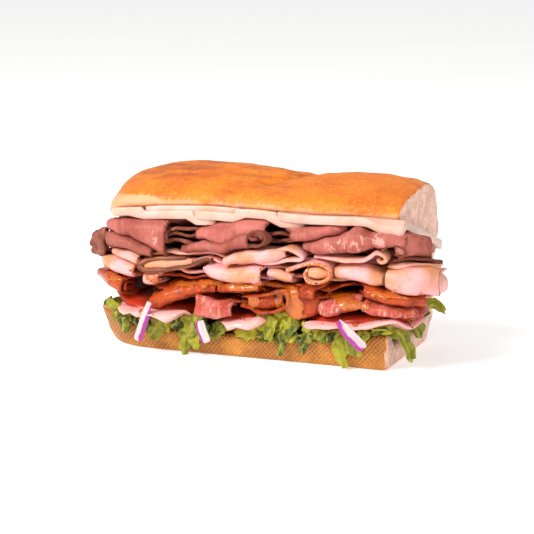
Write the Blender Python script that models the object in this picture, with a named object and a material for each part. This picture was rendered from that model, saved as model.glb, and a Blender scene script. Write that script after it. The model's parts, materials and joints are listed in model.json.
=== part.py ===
"""A filled submarine sandwich on a hinged roll: Blender source of its solids.

The roll lies along X with its cut end at +X, the open side faces -Y, and z = 0 is the
flat it rests on. Tables and functions are in millimetres, meshes in metres.
The fillings are laid out by stack height, a scale that runs from FLOOR_H on the bed of
lettuce to ROOF_H under the crust lid, so every layer follows the wedge between the halves.
"""

import math
import random

import bmesh
import bpy

# Driving dimensions, millimetres
MM = 0.001
ROLL_CUT_X = 76.0  # the cut end at z = 0
CUT_LEAN = 0.075  # how far the cut leans outwards for each millimetre of height
ROLL_CENTRE_Y = 1.3
LID_TILT = 0.3365  # fall of the lid's underside for each millimetre towards the hinge
LID_FRONT_Y = -31.0
LID_BACK_Y = 34.0
LID_LEFT_X = -70.4
LID_ROUND_X = -48.0
BASE_ROUND = 0.23  # share of the length that rounds off at the left end
HINGE_LEFT_X = -55.0
HINGE_TAPER = 0.16  # share of the hinge's length over which it thins at the left
HINGE_THIN_Y = 28.4
HINGE_FLARE = 5.0  # how much further left it reaches at the lid and the base
HINGE_WAIST_Z = 33.0
HINGE_OUTER = 7  # first outer point of its section
HINGE_SHARES = (0.0, 0.02, 0.05, 0.1, 0.16, 0.3, 0.44, 0.58, 0.72, 0.86, 1.0)
HOLLOW_LEFT_X = -60.0
FLOOR_H = 14.0
ROOF_H = 68.0
BACK_FLOOR_Z = 20.0
SHEET_PITCH = 2.3  # one slice of cheese and its gap
CHEESE_T = 1.9
BEEF_T = 1.7
TURKEY_T = 1.9
SPICED_T = 1.5
ONION_T = 2.0
LEAF_T = 1.0
GAP = 0.35
SLANT_REACH = 26.0  # how far back the right ends of the slices slant
NARROWEST = 5.0
FILL_BACK_Y = 24.6
DRIP = 2.6  # how far mayonnaise runs down in front of the lettuce
DRIP_Y = -39.4

COLLECTION = "submarine_sandwich"

# Height of the lid's underside over x, at y = 0
LID_LINE = (
    (-80, 54.6), (-62, 55.0), (-35, 58.0), (-10, 59.5), (20, 59.0), (41, 58.4), (61, 59.2), (82, 58.8),
)
# Height of the bed under the fillings over x, at the open side
BED_LINE = (
    (-80, 22.0), (-62, 20.0), (-52, 16.0), (-40, 12.5), (-14, 12.0), (6, 12.8), (26, 14.0), (50, 15.5),
    (76, 18.4),
)
# Top of the base's front edge over x
LIP_LINE = (
    (-80, 15.6), (-62, 16.6), (-52, 14.0), (-40, 10.9), (-14, 10.5), (6, 11.3), (26, 12.4), (50, 13.7),
    (64, 15.2), (76, 17.8),
)
# Top outline of the lid over x, at y = 8
CROWN_LINE = (
    (-70.4, 64.0), (-69.6, 68.0), (-67.4, 72.0), (-63.4, 75.2), (-58.4, 77.6), (-52.8, 79.4),
    (-45.2, 81.4), (-35.1, 82.5), (-21.8, 83.2), (-8.6, 82.8), (1.3, 81.9), (8.9, 81.2),
    (17.0, 80.6), (28.0, 80.4), (34.7, 81.0), (48.6, 81.6), (62.3, 81.4), (72.6, 80.6), (83.0, 78.4),
)
# Section of the lid at its cut end: y, and height over the underside
LID_SECTION = (
    (-31.0, 0.0), (-32.6, 1.4), (-31.9, 3.6), (-28.6, 6.6), (-23.0, 10.0), (-12.0, 16.0), (-2.0, 20.6),
    (6.0, 23.4), (12.0, 24.4), (18.0, 24.2), (23.5, 22.4), (28.4, 18.0), (31.6, 12.4),
    (33.6, 7.0), (33.4, 1.8), (31.6, 0.0), (15.0, 0.0), (0.0, 0.0), (-15.0, 0.0),
)
# Section of the base: y, z, and 1 where z follows the front edge's height instead
BASE_SECTION = (
    (-31.0, 0.0, 0), (-33.6, 1.0, 0), (-35.0, 5.5, 0), (-35.6, -6.0, 1), (-35.8, -1.6, 1), (-34.4, 0.0, 1),
    (-31.6, -0.8, 1), (-27.0, -3.2, 1), (-20.0, 9.0, 0), (-8.0, 8.4, 0), (8.0, 8.4, 0), (19.0, 9.2, 0),
    (26.0, 11.6, 0), (29.0, 15.0, 0), (33.0, 18.2, 0), (36.6, 16.6, 0), (36.4, 11.0, 0), (34.0, 4.8, 0),
    (30.6, 0.8, 0), (28.0, 0.0, 0), (0.0, 0.0, 0),
)
# Left end of the base over z
BASE_LEFT = ((0, -69.6), (3, -72.0), (7, -73.4), (11, -74.8), (15, -76.6), (20, -77.6))
# Section of the hinge wall: y, z
HINGE_SECTION = (
    (30.0, 9.0), (27.4, 14.0), (26.0, 22.0), (25.5, 32.0), (25.8, 42.0), (26.6, 50.0), (29.0, 56.0),
    (32.4, 55.0), (33.5, 49.5), (31.6, 42.5), (31.0, 36.0), (32.2, 28.0), (35.4, 20.0), (36.3, 15.0),
    (34.4, 9.0),
)

# Sheets of cheese: name, left x, right x, front y, and how many sheets hang above them over x
CHEESE = (
    ("cheese_1", -60.0, -7.0, -35.6, (
        (-62, 0.0), (-50, 0.0), (-42, 1.0), (-21, 1.0), (-16, 2.2), (-6, 2.2),
    )),
    ("cheese_2", -40.0, 1.5, -34.4, ((-40, 0.0), (2, 0.0))),
    ("cheese_3", -14.5, 37.0, -36.6, ((-15, 1.0), (3, 1.0), (9, 0.0), (19, 0.0), (26, 1.22), (37, 1.22))),
    ("cheese_4", 27.5, 84.5, -37.6, ((27, 0.0), (85, 0.0))),
)
# How many sheets of cheese lie over the meat, over x
CHEESE_COUNT = (
    (-62, 1.0), (-51, 1.0), (-43, 2.05), (-23, 2.05), (-17, 3.2), (-5, 3.2), (-2, 2.1), (5, 2.1), (11, 1.0),
    (18, 1.0), (25, 2.2), (38, 2.2), (41, 1.0), (90, 1.0),
)

# Profiles of folds: depth behind the fold line, and height as a share between low and high
NOSE = (
    (1.0, 1.0), (0.62, 1.0), (0.3, 1.0), (0.09, 0.98), (0.0, 0.78), (-0.01, 0.5), (0.0, 0.22),
    (0.09, 0.02), (0.3, 0.0), (0.6, 0.0), (0.92, 0.0),
)
SPIRAL = (
    (0.62, 0.7), (0.3, 0.72), (0.12, 0.71), (0.07, 0.58), (0.12, 0.42), (0.4, 0.36), (0.8, 0.36),
    (0.93, 0.62),
    (0.8, 0.98), (0.45, 1.0), (0.09, 0.98), (0.0, 0.78), (-0.01, 0.5), (0.0, 0.22), (0.09, 0.02),
    (0.4, 0.0), (0.86, 0.0),
)
SHELF = ((0.03, 1.0), (0.0, 0.8), (-0.01, 0.45), (0.03, 0.12), (0.12, 0.0), (0.45, 0.0), (0.92, 0.0))
PAGE = ((0.0, 0.35), (0.2, 0.6), (0.5, 0.9), (0.92, 1.0))
SLOPE = (
    (0.75, 1.0), (0.4, 1.0), (0.24, 0.86), (0.09, 0.6), (0.015, 0.46), (0.0, 0.34), (0.0, 0.14),
    (0.06, 0.0), (0.4, 0.0),
)
CURTAIN = (
    (0.02, 0.0), (-0.04, 0.2), (-0.06, 0.6), (0.0, 0.95), (0.09, 1.0), (0.17, 0.85), (0.5, 0.64),
    (0.95, 0.62),
)

# Slices folded along the sandwich: name, kind, thickness, profile, reach to the back,
# how far the fold line falls short at its left and right end and how the right end
# slants back, and stations of the fold line from left to right: x, y, low, high
FOLDS = (
    ("beef_1", BEEF_T, SPIRAL, 52, (6, 0, 0), (
        (-69, -22, 57.4, 60.6), (-60, -33, 56.8, 62.2), (-46, -38, 54.4, 61.6),
        (-37, -39.5, 50.6, 61.0), (-29.5, -40, 46.6, 60.6),
    )),
    ("beef_2", BEEF_T, NOSE, 24, (3, 0, 0), (
        (-83, -4, 43.4, 52.0), (-78.5, -15, 42.4, 55.4), (-71.5, -24, 42.4, 55.8),
        (-66, -30, 43.0, 54.6),
    )),
    ("beef_3", BEEF_T, NOSE, 64, (0, 0, 0), (
        (-64.6, -31, 46.8, 54.6), (-54, -36, 48.6, 53.8), (-45, -38, 48.2, 51.6),
        (-38, -38.5, 47.0, 48.6),
    )),
    ("beef_4", BEEF_T, NOSE, 64, (-3, 1.5, 0), (
        (-15, -34, 54.6, 57.4), (-8, -37, 53.6, 59.2), (0, -38.5, 53.8, 61.4), (12, -39.5, 55.8, 63.2),
        (21.5, -40, 57.2, 62.8),
    )),
    ("beef_5", BEEF_T, SHELF, 64, (0, 0, 0), (
        (-24, -34, 47.6, 49.4), (-12, -38, 49.8, 52.0), (0, -40.5, 51.6, 53.8), (9, -43.0, 53.0, 57.4),
        (13, -43.4, 53.3, 58.4),
    )),
    ("beef_6", BEEF_T, NOSE, 64, (7, 0, 0), (
        (25.5, -40, 56.4, 60.8), (33, -40.5, 57.4, 60.8), (42, -40, 59.2, 62.0), (50, -37, 60.8, 63.4),
        (57, -31, 61.6, 63.6),
    )),
    ("beef_7", BEEF_T, NOSE, 64, (0, 0, 0), (
        (37.5, -38, 54.4, 55.8), (44, -41, 53.4, 57.4), (52, -42, 53.4, 58.4), (58, -42, 53.4, 59.8),
        (63.5, -42.5, 53.6, 63.0), (69, -41, 55.0, 61.2), (72.5, -39, 57.2, 60.0),
    )),
    ("beef_8", BEEF_T, NOSE, 58, (8, 2, 0.42), (
        (73.5, -38, 55.8, 61.2), (80, -38, 52.8, 61.4), (89, -34, 52.0, 60.8), (96.0, -26, 53.0, 59.8),
    )),
    ("beef_9", BEEF_T, PAGE, 60, (0, 0, 0.42), (
        (79, -35, 49.3, 50.0), (90, -31, 49.3, 50.0), (99.0, -22, 49.0, 50.2),
    )),
    ("turkey_1", TURKEY_T, NOSE, 64, (0, 0, 0), (
        (-67, -28, 34.4, 40.2), (-59, -35, 34.8, 40.8), (-51, -38, 35.4, 40.6),
        (-46.0, -39, 36.2, 40.2),
    )),
    ("turkey_2", TURKEY_T, NOSE, 64, (0, 0, 0), (
        (-62, -30, 43.2, 44.8), (-54, -35, 43.0, 46.2), (-47, -38, 43.0, 45.8),
        (-44.0, -38.5, 43.2, 45.2),
    )),
    ("turkey_4", TURKEY_T, NOSE, 30, (0, 0, 0), (
        (-41.5, -38, 34.2, 37.2), (-37, -39.5, 34.4, 37.2), (-33, -39.5, 35.2, 37.2),
    )),
    ("turkey_5", TURKEY_T, NOSE, 64, (-3, 1, 0), (
        (-10.5, -36, 39.2, 41.6), (-5, -39, 38.4, 42.6), (5, -41, 37.8, 42.8), (13, -42, 37.4, 43.6),
        (19.8, -42, 37.6, 44.2),
    )),
    ("turkey_6", TURKEY_T, SHELF, 60, (0, 0, 0), (
        (21.4, -38, 41.2, 43.2), (26, -39, 39.8, 42.4), (33, -38, 38.6, 40.2),
    )),
    ("turkey_9", TURKEY_T, NOSE, 64, (-3, 0, 0), (
        (54.6, -38.5, 41.6, 45.6), (61, -40.5, 40.4, 45.6), (68, -41, 39.4, 45.0),
        (72.5, -40, 38.6, 42.6), (76, -38, 38.6, 41.2),
    )),
    ("turkey_11", TURKEY_T, PAGE, 64, (0, 0, 0.38), (
        (77.6, -37, 46.2, 47.4), (86, -35, 46.2, 47.6), (98.5, -24, 46.2, 47.6),
    )),
    ("turkey_12", TURKEY_T, NOSE, 17, (-2, -1, 0.2), (
        (77.8, -40, 38.0, 43.8), (83, -39.5, 36.6, 44.2), (91, -36.5, 35.2, 44.4),
        (98.5, -28, 34.6, 44.2),
    )),
    ("turkey_13", TURKEY_T, NOSE, 30, (0, 0, 0.12), (
        (78, -14, 38.4, 44.0), (86, -12, 37.0, 44.0), (94, -9, 35.4, 43.4),
    )),
    ("spiced_1", SPICED_T, NOSE, 62, (-2, 3, 0), (
        (-74.5, -19, 26.4, 30.4), (-68, -27, 25.0, 31.8), (-59, -35.5, 24.8, 32.2),
        (-50, -40.5, 24.8, 32.8),
    )),
    ("spiced_2", SPICED_T, SLOPE, 64, (0, 0, 0), (
        (-38, -38.5, 25.4, 30.8), (-33, -41.5, 24.2, 32.8), (-27, -42.5, 26.2, 36.2),
        (-17, -41.5, 29.0, 37.0), (-9.5, -40, 31.0, 36.6), (-5.5, -37, 32.4, 35.4),
    )),
    ("spiced_3", SPICED_T, CURTAIN, 24, (0, 0, 0), (
        (-13.6, -42.2, 21.6, 29.0), (-8, -43.8, 21.4, 29.0), (-1, -44.2, 21.8, 29.0),
        (5, -42.5, 23.6, 27.2),
    )),
    ("spiced_4", SPICED_T, NOSE, 64, (-2, 0, 0), (
        (-3.5, -37, 32.6, 35.0), (4, -39.5, 32.4, 35.4), (12, -40.5, 33.4, 35.6),
        (17.4, -40, 34.0, 35.8),
    )),
    ("spiced_6", SPICED_T, NOSE, 64, (-2, 5, 0), (
        (33, -38, 31.2, 33.8), (39, -41, 31.0, 36.2), (45, -42.5, 31.6, 37.0), (49.5, -43, 32.2, 37.0),
    )),
    ("spiced_7", SPICED_T, NOSE, 64, (7, 3, 0.38), (
        (60.5, -38, 33.8, 38.0), (67, -41, 32.8, 37.2), (77, -41.5, 30.8, 34.6),
        (88, -37.5, 28.8, 33.0), (96, -30, 27.2, 32.4),
    )),
    ("spiced_8", SPICED_T, NOSE, 34, (4, -1, 0), (
        (43.5, -41, 25.2, 29.2), (52, -44, 24.4, 30.2), (60, -44, 25.6, 30.8), (66, -42, 28.0, 30.6),
    )),
    ("spiced_9", SPICED_T, NOSE, 34, (-2, -2, 0.3), (
        (67.6, -42, 25.6, 29.8), (75, -42.5, 24.2, 28.6), (83, -40.5, 23.6, 27.0),
        (90.5, -36, 23.4, 25.4),
    )),
)

# Slices rolled or folded across the sandwich: name, thickness, profile as x and stack
# height at the open side, front y, depth, rise of each profile point at the back, drift
# of the back end to the left, and how far the ends of the edge stand back
ROLLS = (
    ("turkey_3", TURKEY_T, (
        (-20, 45.2), (-31, 45.0), (-38, 45.0), (-42.6, 42.8), (-40, 40.2), (-31, 39.9), (-20, 41.8),
        (-14, 44.0), (-9.6, 45.6), (-7.2, 45.4),
    ), -42, 60, 0.0, 0, 5),
    ("turkey_7", TURKEY_T, (
        (0, 47.6), (7, 48.0), (14, 48.8), (21, 50.2), (27, 52.0), (32, 52.6), (36.4, 52.0),
        (38.2, 50.4), (36.4, 48.8), (31, 47.6), (23, 46.8), (12, 46.2), (4, 45.8),
    ), -43, 66, 1.6, 6, 4),
    ("turkey_8", TURKEY_T, (
        (30.5, 43.6), (33.4, 44.2), (36.6, 45.6), (41.5, 48.0), (47.5, 48.2), (51.6, 45.6),
        (51.6, 42.2), (47.4, 40.0), (42, 40.2), (39.8, 42.8), (41.4, 45.4),
    ), -43, 64, 0.0, 4, 2),
    ("turkey_10", TURKEY_T, (
        (43, 50.9), (49, 51.1), (55, 50.0), (62, 49.0), (67, 49.2), (70.4, 51.2), (73.4, 53.6),
        (76.6, 52.6), (77.2, 50.2), (75, 49.2), (73.0, 50.6),
    ), -42, 62, 0.0, 4, 3),
    ("spiced_5", SPICED_T, (
        (8, 29.8), (14, 31.2), (20, 32.4), (26.5, 34.2), (30.8, 33.4), (31.8, 30.4), (29.6, 26.8),
        (23.6, 24.6), (15, 24.8), (8, 26.0),
    ), -43.5, 64, 0.0, 2, 4),
)

# Slices of tomato: name, x, y, radius, low and high
TOMATOES = (
    ("tomato_1", -38.0, -12.5, 26.4, 18.8, 23.2),
    ("tomato_2", 7.0, -20.6, 18.2, 18.2, 20.8),
    ("tomato_3", 59.5, -11.5, 28.0, 18.0, 22.2),
)
# Dollops of mayonnaise: name, x, y, half length, half width, low and high
DOLLOPS = (
    ("mayonnaise_1", -37.0, -21.0, 20.5, 21.8, 14.4, 18.2),
    ("mayonnaise_2", 9.0, -24.0, 12.5, 18.4, 14.4, 17.6),
    ("mayonnaise_3", 61.0, -20.0, 27.0, 22.2, 14.4, 17.4),
)
# Strips of onion: name, width, and points of their centre line
ONIONS = (
    ("onion_1", 4.0, ((-35.0, -43.8, 25.6), (-38.4, -43.6, 15.5), (-42.0, -42.6, 6.6))),
    ("onion_2", 4.6, ((-10.4, -42.2, 18.6), (-9.4, -42.6, 14.6), (-7.0, -42.2, 8.6))),
    ("onion_3", 5.2, ((57.4, -43.6, 24.4), (62.6, -43.6, 19.0), (69.4, -42.6, 12.4))),
)
# Leaves that hang from the lettuce: x at the top, x at the tip, tip z, width at the top
# and at the tip, front y, rise over the bed
LEAVES = (
    (-48.0, -49.0, 8.4, 9.0, 4.0, -38.2, 0.0),
    (-33.5, -36.4, 6.6, 10.0, 4.0, -38.2, 0.0),
    (-14.5, -19.0, 1.6, 14.0, 6.0, -38.4, 0.6),
    (-3.0, -4.4, 9.6, 7.0, 4.0, -38.0, 0.4),
    (8.4, 8.8, 7.6, 9.0, 5.0, -38.0, 0.0),
    (26.4, 22.4, 8.4, 13.0, 7.0, -39.2, 0.0),
    (33.0, 27.4, 4.0, 4.2, 4.0, -38.4, 0.0),
    (44.0, 44.0, 7.8, 12.0, 6.0, -38.4, 0.0),
    (57.6, 58.4, 1.4, 8.0, 4.0, -38.4, 0.0),
    (66.4, 66.8, 7.6, 6.0, 4.0, -38.2, 0.0),
)
# Leaves at the two ends: three points of the centre line, and width
END_LEAVES = (
    ((71.0, -25.0, 16.4), (81.4, -29.0, 17.0), (84.4, -31.4, 3.6), 7.4),
    ((72.0, -12.0, 15.0), (83.0, -15.0, 16.4), (87.6, -16.0, 9.4), 6.6),
    ((70.0, 3.0, 15.4), (83.0, 2.0, 16.8), (90.6, 0.0, 23.6), 7.0),
    ((-54.0, -21.0, 16.3), (-62.0, -25.0, 19.6), (-69.6, -28.6, 22.4), 9.0),
)


def clamp(value, low, high):
    return max(low, min(high, value))


def smooth(value):
    value = clamp(value, 0.0, 1.0)
    return value * value * (3.0 - 2.0 * value)


def along(table, x):
    """Straight interpolation in a table of (x, value)."""
    if x <= table[0][0]:
        return table[0][1]
    for (x0, v0), (x1, v1) in zip(table, table[1:]):
        if x <= x1:
            return v0 + (v1 - v0) * (x - x0) / (x1 - x0)
    return table[-1][1]


def curve_point(points, t):
    """Point of a smooth curve through the points, t from 0 to 1."""
    spans = len(points) - 1
    i = min(int(t * spans), spans - 1)
    f = t * spans - i
    p0 = points[max(i - 1, 0)]
    p1 = points[i]
    p2 = points[i + 1]
    p3 = points[min(i + 2, spans)]
    out = []
    for a, b, c, d in zip(p0, p1, p2, p3):
        value = 2 * b + (c - a) * f + (2 * a - 5 * b + 4 * c - d) * f * f + (3 * b - a - 3 * c + d) * f**3
        out.append(value / 2)
    return out


def even_curve(points, count):
    """Points spread evenly along the smooth curve, count spans."""
    fine = [curve_point(points, i / 200) for i in range(201)]
    lengths = [0.0]
    for a, b in zip(fine, fine[1:]):
        lengths.append(lengths[-1] + math.dist(a, b))
    out = []
    j = 0
    for i in range(count + 1):
        target = lengths[-1] * i / count
        while j < 199 and lengths[j + 1] < target:
            j += 1
        f = (target - lengths[j]) / max(lengths[j + 1] - lengths[j], 1e-9)
        out.append([a + (b - a) * f for a, b in zip(fine[j], fine[j + 1])])
    return out


def station(points, x):
    """Smooth interpolation of the stations of a fold line over their own x."""
    for i, (a, b) in enumerate(zip(points, points[1:])):
        if x <= b[0] or i == len(points) - 2:
            f = (x - a[0]) / (b[0] - a[0])
            return curve_point(points, (i + f) / (len(points) - 1))
    return points[-1]


def lid_z(x, y):
    return along(LID_LINE, x) - clamp(y, LID_FRONT_Y, LID_BACK_Y) * LID_TILT


def bed_z(x, y):
    front = along(BED_LINE, x)
    return front + (BACK_FLOOR_Z - front) * smooth((y + 36.0) / 72.0)


def stack_z(x, y, h):
    """Height in millimetres of a place in the stack."""
    low = bed_z(x, y)
    count = along(CHEESE_COUNT, x)
    roof_h = ROOF_H - 0.65 - SHEET_PITCH * count
    roof = lid_z(x, y) - 0.65 - SHEET_PITCH * count
    return low + (h - FLOOR_H) / (roof_h - FLOOR_H) * (roof - low)


def material(name, color, roughness, coat=0.0):
    mat = bpy.data.materials.new(name)
    mat.use_nodes = True
    shader = mat.node_tree.nodes["Principled BSDF"]
    shader.inputs["Base Color"].default_value = (*color, 1.0)
    shader.inputs["Roughness"].default_value = roughness
    shader.inputs["Coat Weight"].default_value = coat
    mat.diffuse_color = (*color, 1.0)
    return mat


def add_object(name, bm, mat, is_smooth=True):
    bmesh.ops.recalc_face_normals(bm, faces=bm.faces)
    if bm.calc_volume(signed=True) < 0:
        bmesh.ops.reverse_faces(bm, faces=bm.faces)
    mesh = bpy.data.meshes.new(name)
    bm.to_mesh(mesh)
    bm.free()
    mesh.materials.append(mat)
    obj = bpy.data.objects.new(name, mesh)
    bpy.data.collections[COLLECTION].objects.link(obj)
    mesh.polygons.foreach_set("use_smooth", [is_smooth] * len(mesh.polygons))
    return obj


def thick_grid(us, vs, place):
    """A primitive grid given thickness and bent: place(u, v, side) gives millimetres."""
    bm = bmesh.new()
    bmesh.ops.create_grid(bm, x_segments=us, y_segments=vs, size=0.5)
    bmesh.ops.triangulate(bm, faces=bm.faces)
    bmesh.ops.solidify(bm, geom=bm.faces, thickness=1.0)
    middle = sum(v.co.z for v in bm.verts) / len(bm.verts)
    for vert in bm.verts:
        side = 1.0 if vert.co.z > middle else -1.0
        x, y, z = place(vert.co.x + 0.5, vert.co.y + 0.5, side)
        vert.co = (x * MM, y * MM, z * MM)
    return bm


def loft(rings):
    """Closed skin over rings of equal count, with both ends filled."""
    bm = bmesh.new()
    rows = [[bm.verts.new((x * MM, y * MM, z * MM)) for x, y, z in ring] for ring in rings]
    for row, following in zip(rows, rows[1:]):
        for i in range(len(row)):
            j = (i + 1) % len(row)
            bm.faces.new((row[i], row[j], following[j], following[i]))
    bm.faces.new(rows[0][::-1])
    bm.faces.new(rows[-1])
    bmesh.ops.triangulate(bm, faces=bm.faces)
    return bm


def offset(point_at, u, v, side, thickness):
    """A point half a thickness to one side of the sheet point_at(u, v)."""
    step = 0.01
    x, y, h = point_at(u, v)
    ua = point_at(max(u - step, 0.0), v)
    ub = point_at(min(u + step, 1.0), v)
    va = point_at(u, max(v - step, 0.0))
    vb = point_at(u, min(v + step, 1.0))
    du = [b - a for a, b in zip(ua, ub)]
    dv = [b - a for a, b in zip(va, vb)]
    n = (du[1] * dv[2] - du[2] * dv[1], du[2] * dv[0] - du[0] * dv[2], du[0] * dv[1] - du[1] * dv[0])
    length = math.sqrt(n[0] ** 2 + n[1] ** 2 + n[2] ** 2) or 1.0
    k = side * thickness / 2 / length
    return x + n[0] * k, y + n[1] * k, h + n[2] * k


def fold_sheet(profile, reach, short, stations):
    """Sheet function of a slice folded along the sandwich."""
    line = even_curve([(a * reach, k * 10.0) for a, k in profile], 96)
    x0 = stations[0][0]
    x1 = stations[-1][0]

    def point_at(u, v):
        a, k = curve_point(line, u)
        at_fold = math.exp(-((a / 6.0) ** 2))
        away = 1.0 - at_fold
        left = x0 + short[0] * at_fold + 2.4 * away * smooth(a / reach)
        right = x1 - short[1] * at_fold - 2.4 * away * smooth(a / reach) - short[2] * min(a, SLANT_REACH)
        right = max(right, left + NARROWEST)
        x, y, low, high = station(stations, left + (right - left) * v)
        return x, y + a * min(1.0, (FILL_BACK_Y - y) / reach), low + (high - low) * k / 10.0

    return point_at


def roll_sheet(profile, front, depth, rise, drift, stand_back):
    """Sheet function of a slice rolled or folded across the sandwich."""
    line = even_curve(profile, 96)

    def point_at(u, v):
        x, h = curve_point(line, u)
        edge = stand_back * (2 * u - 1) ** 2
        y = front + edge + (depth - edge) * v
        upper = math.sin(math.pi * clamp(u * 1.6, 0.0, 1.0))
        return x - drift * v, y, h + rise * upper * smooth(v * 1.6)

    return point_at


def stacked(point_at, thickness):
    def place(u, v, side):
        x, y, h = offset(point_at, u, v, side, thickness)
        return x, y, stack_z(x, y, h)

    return place


def build_meat(mats):
    for name, thickness, profile, reach, short, stations in FOLDS:
        us = 15 if profile is SPIRAL else 9
        vs = 4 if len(stations) > 3 else 3
        sheet = fold_sheet(profile, reach, short, stations)
        bm = thick_grid(us, vs, stacked(sheet, thickness))
        add_object(name, bm, mats[name.split("_")[0]])
    for name, thickness, profile, front, depth, rise, drift, stand_back in ROLLS:
        sheet = roll_sheet(profile, front, depth, rise, drift, stand_back)
        bm = thick_grid(14, 3, stacked(sheet, thickness))
        add_object(name, bm, mats[name.split("_")[0]])


def cut_x(z):
    return ROLL_CUT_X + CUT_LEAN * z


def crease(x, y):
    """Depth of the diagonal crease between the two swells of the lid."""
    across = (x - 28.0 - (y - 8.0) * 0.75) / 5.0
    return 1.5 * math.exp(-across * across) * smooth((26.0 - abs(y - 2.0)) / 16.0)


def lid_ring(t):
    """One section of the lid, t from 0 at the left tip to 1 at the cut."""
    ring = []
    x_mid = LID_LEFT_X + (cut_x(70.0) - LID_LEFT_X) * t
    narrow = clamp((LID_ROUND_X - x_mid) / (LID_ROUND_X - LID_LEFT_X), 0.0, 1.0)
    width = max(1.0 - narrow**2.5, 0.0) ** (1 / 2.5)
    tall = (along(CROWN_LINE, x_mid) - lid_z(x_mid, 8.0)) / (along(CROWN_LINE, 83.0) - lid_z(83.0, 8.0))
    for y_cut, rise in LID_SECTION:
        y = ROLL_CENTRE_Y + (y_cut - ROLL_CENTRE_Y) * width
        z = along(LID_LINE, x_mid) - y * LID_TILT + rise * tall
        x = LID_LEFT_X + (cut_x(z) - LID_LEFT_X) * t
        if rise > 9.0:
            z -= crease(x, y)
        ring.append((x, y, z))
    return ring


def base_ring(t):
    """One section of the base, t from 0 at the left end to 1 at the cut."""
    ring = []
    narrow = clamp((BASE_ROUND - t) / BASE_ROUND, 0.0, 1.0)
    width = max(1.0 - narrow**2.4, 0.0) ** (1 / 2.4)
    for y_cut, z_cut, follows in BASE_SECTION:
        x_near = along(BASE_LEFT, 10.0) * (1 - t) + cut_x(10.0) * t
        lip = along(LIP_LINE, x_near)
        z = lip + z_cut if follows else z_cut
        if 8.0 < z < lip and y_cut > -34.0 and z_cut != 11.0:
            z += (lip - 1.0 - z) * smooth((HOLLOW_LEFT_X - x_near) / 8.0)
        y = ROLL_CENTRE_Y + (y_cut - ROLL_CENTRE_Y) * width
        x = along(BASE_LEFT, z) * (1 - t) + cut_x(z) * t
        ring.append((x, y, z))
    return ring


def hinge_ring(t):
    """One section of the hinge wall, thinner towards its left end."""
    ring = []
    thin = smooth(1 - t / HINGE_TAPER)
    for i, (y, z) in enumerate(HINGE_SECTION):
        left = HINGE_LEFT_X - HINGE_FLARE * ((z - HINGE_WAIST_Z) / 22.0) ** 2
        if i >= HINGE_OUTER:
            y -= (y - HINGE_THIN_Y) * thin
        ring.append((left + (cut_x(z) - left) * t, y, z))
    return ring


def end_spaced(count, start):
    """Shares of a length, closer together at its rounded start."""
    first = [start + (0.25 - start) * (1 - math.cos(math.pi / 2 * i / 8)) for i in range(8)]
    return first + [0.25 + 0.75 * i / count for i in range(count + 1)]


def drop_scraps(mesh):
    """Keeps only the largest connected part of a mesh."""
    bm = bmesh.new()
    bm.from_mesh(mesh)
    left = set(bm.verts)
    parts = []
    while left:
        part = set()
        todo = [left.pop()]
        while todo:
            vert = todo.pop()
            part.add(vert)
            for edge in vert.link_edges:
                other = edge.other_vert(vert)
                if other in left:
                    left.discard(other)
                    todo.append(other)
        parts.append(part)
    parts.sort(key=len)
    for part in parts[:-1]:
        bmesh.ops.delete(bm, geom=list(part), context="VERTS")
    bm.to_mesh(mesh)
    bm.free()


def fuse(name, pieces, mat):
    """One solid of several closed meshes, by a Boolean union on their collection."""
    body = pieces[0]
    group = bpy.data.collections.new(name + "_pieces")
    for piece in pieces[1:]:
        group.objects.link(piece)
        bpy.data.collections[COLLECTION].objects.unlink(piece)
    bpy.context.scene.collection.children.link(group)
    body.name = name
    mod = body.modifiers.new("union", "BOOLEAN")
    mod.operation = "UNION"
    mod.solver = "EXACT"
    mod.operand_type = "COLLECTION"
    mod.collection = group
    graph = bpy.context.evaluated_depsgraph_get()
    mesh = bpy.data.meshes.new_from_object(body.evaluated_get(graph))
    body.modifiers.clear()
    drop_scraps(mesh)
    body.data = mesh
    body.data.name = name
    for piece in list(group.objects):
        bpy.data.objects.remove(piece)
    bpy.data.collections.remove(group)
    mesh.materials.clear()
    mesh.materials.append(mat)
    mesh.polygons.foreach_set("use_smooth", [True] * len(mesh.polygons))
    return body


def build_bread(mat):
    lid = add_object("lid", loft([lid_ring(t) for t in end_spaced(13, 0.004)]), mat)
    base = add_object("base", loft([base_ring(t) for t in end_spaced(11, 0.003)]), mat)
    hinge = add_object("hinge", loft([hinge_ring(t) for t in HINGE_SHARES]), mat)
    fuse("bread", [lid, base, hinge], mat)


def build_cheese(mat):
    for name, left, right, front, hung in CHEESE:

        def place(u, v, side, left=left, right=right, front=front, hung=hung):
            corner = 3.0 * (abs(2 * u - 1) ** 6)
            x = left + (right - left) * u
            y = front + corner + (FILL_BACK_Y - front - corner) * v
            droop = 2.6 * smooth((-31.5 - y) / 6.0) * smooth((x - 66.0) / 10.0)
            z = lid_z(x, y) - GAP - CHEESE_T / 2 - SHEET_PITCH * along(hung, x) - droop
            return x, y, z + side * CHEESE_T / 2

        add_object(name, thick_grid(11, 3, place), mat)


def on_disc(u, v):
    """A place in the unit circle for a place in the unit square."""
    a = 2 * u - 1
    b = 2 * v - 1
    return a * math.sqrt(1 - b * b / 2), b * math.sqrt(1 - a * a / 2)


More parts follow.
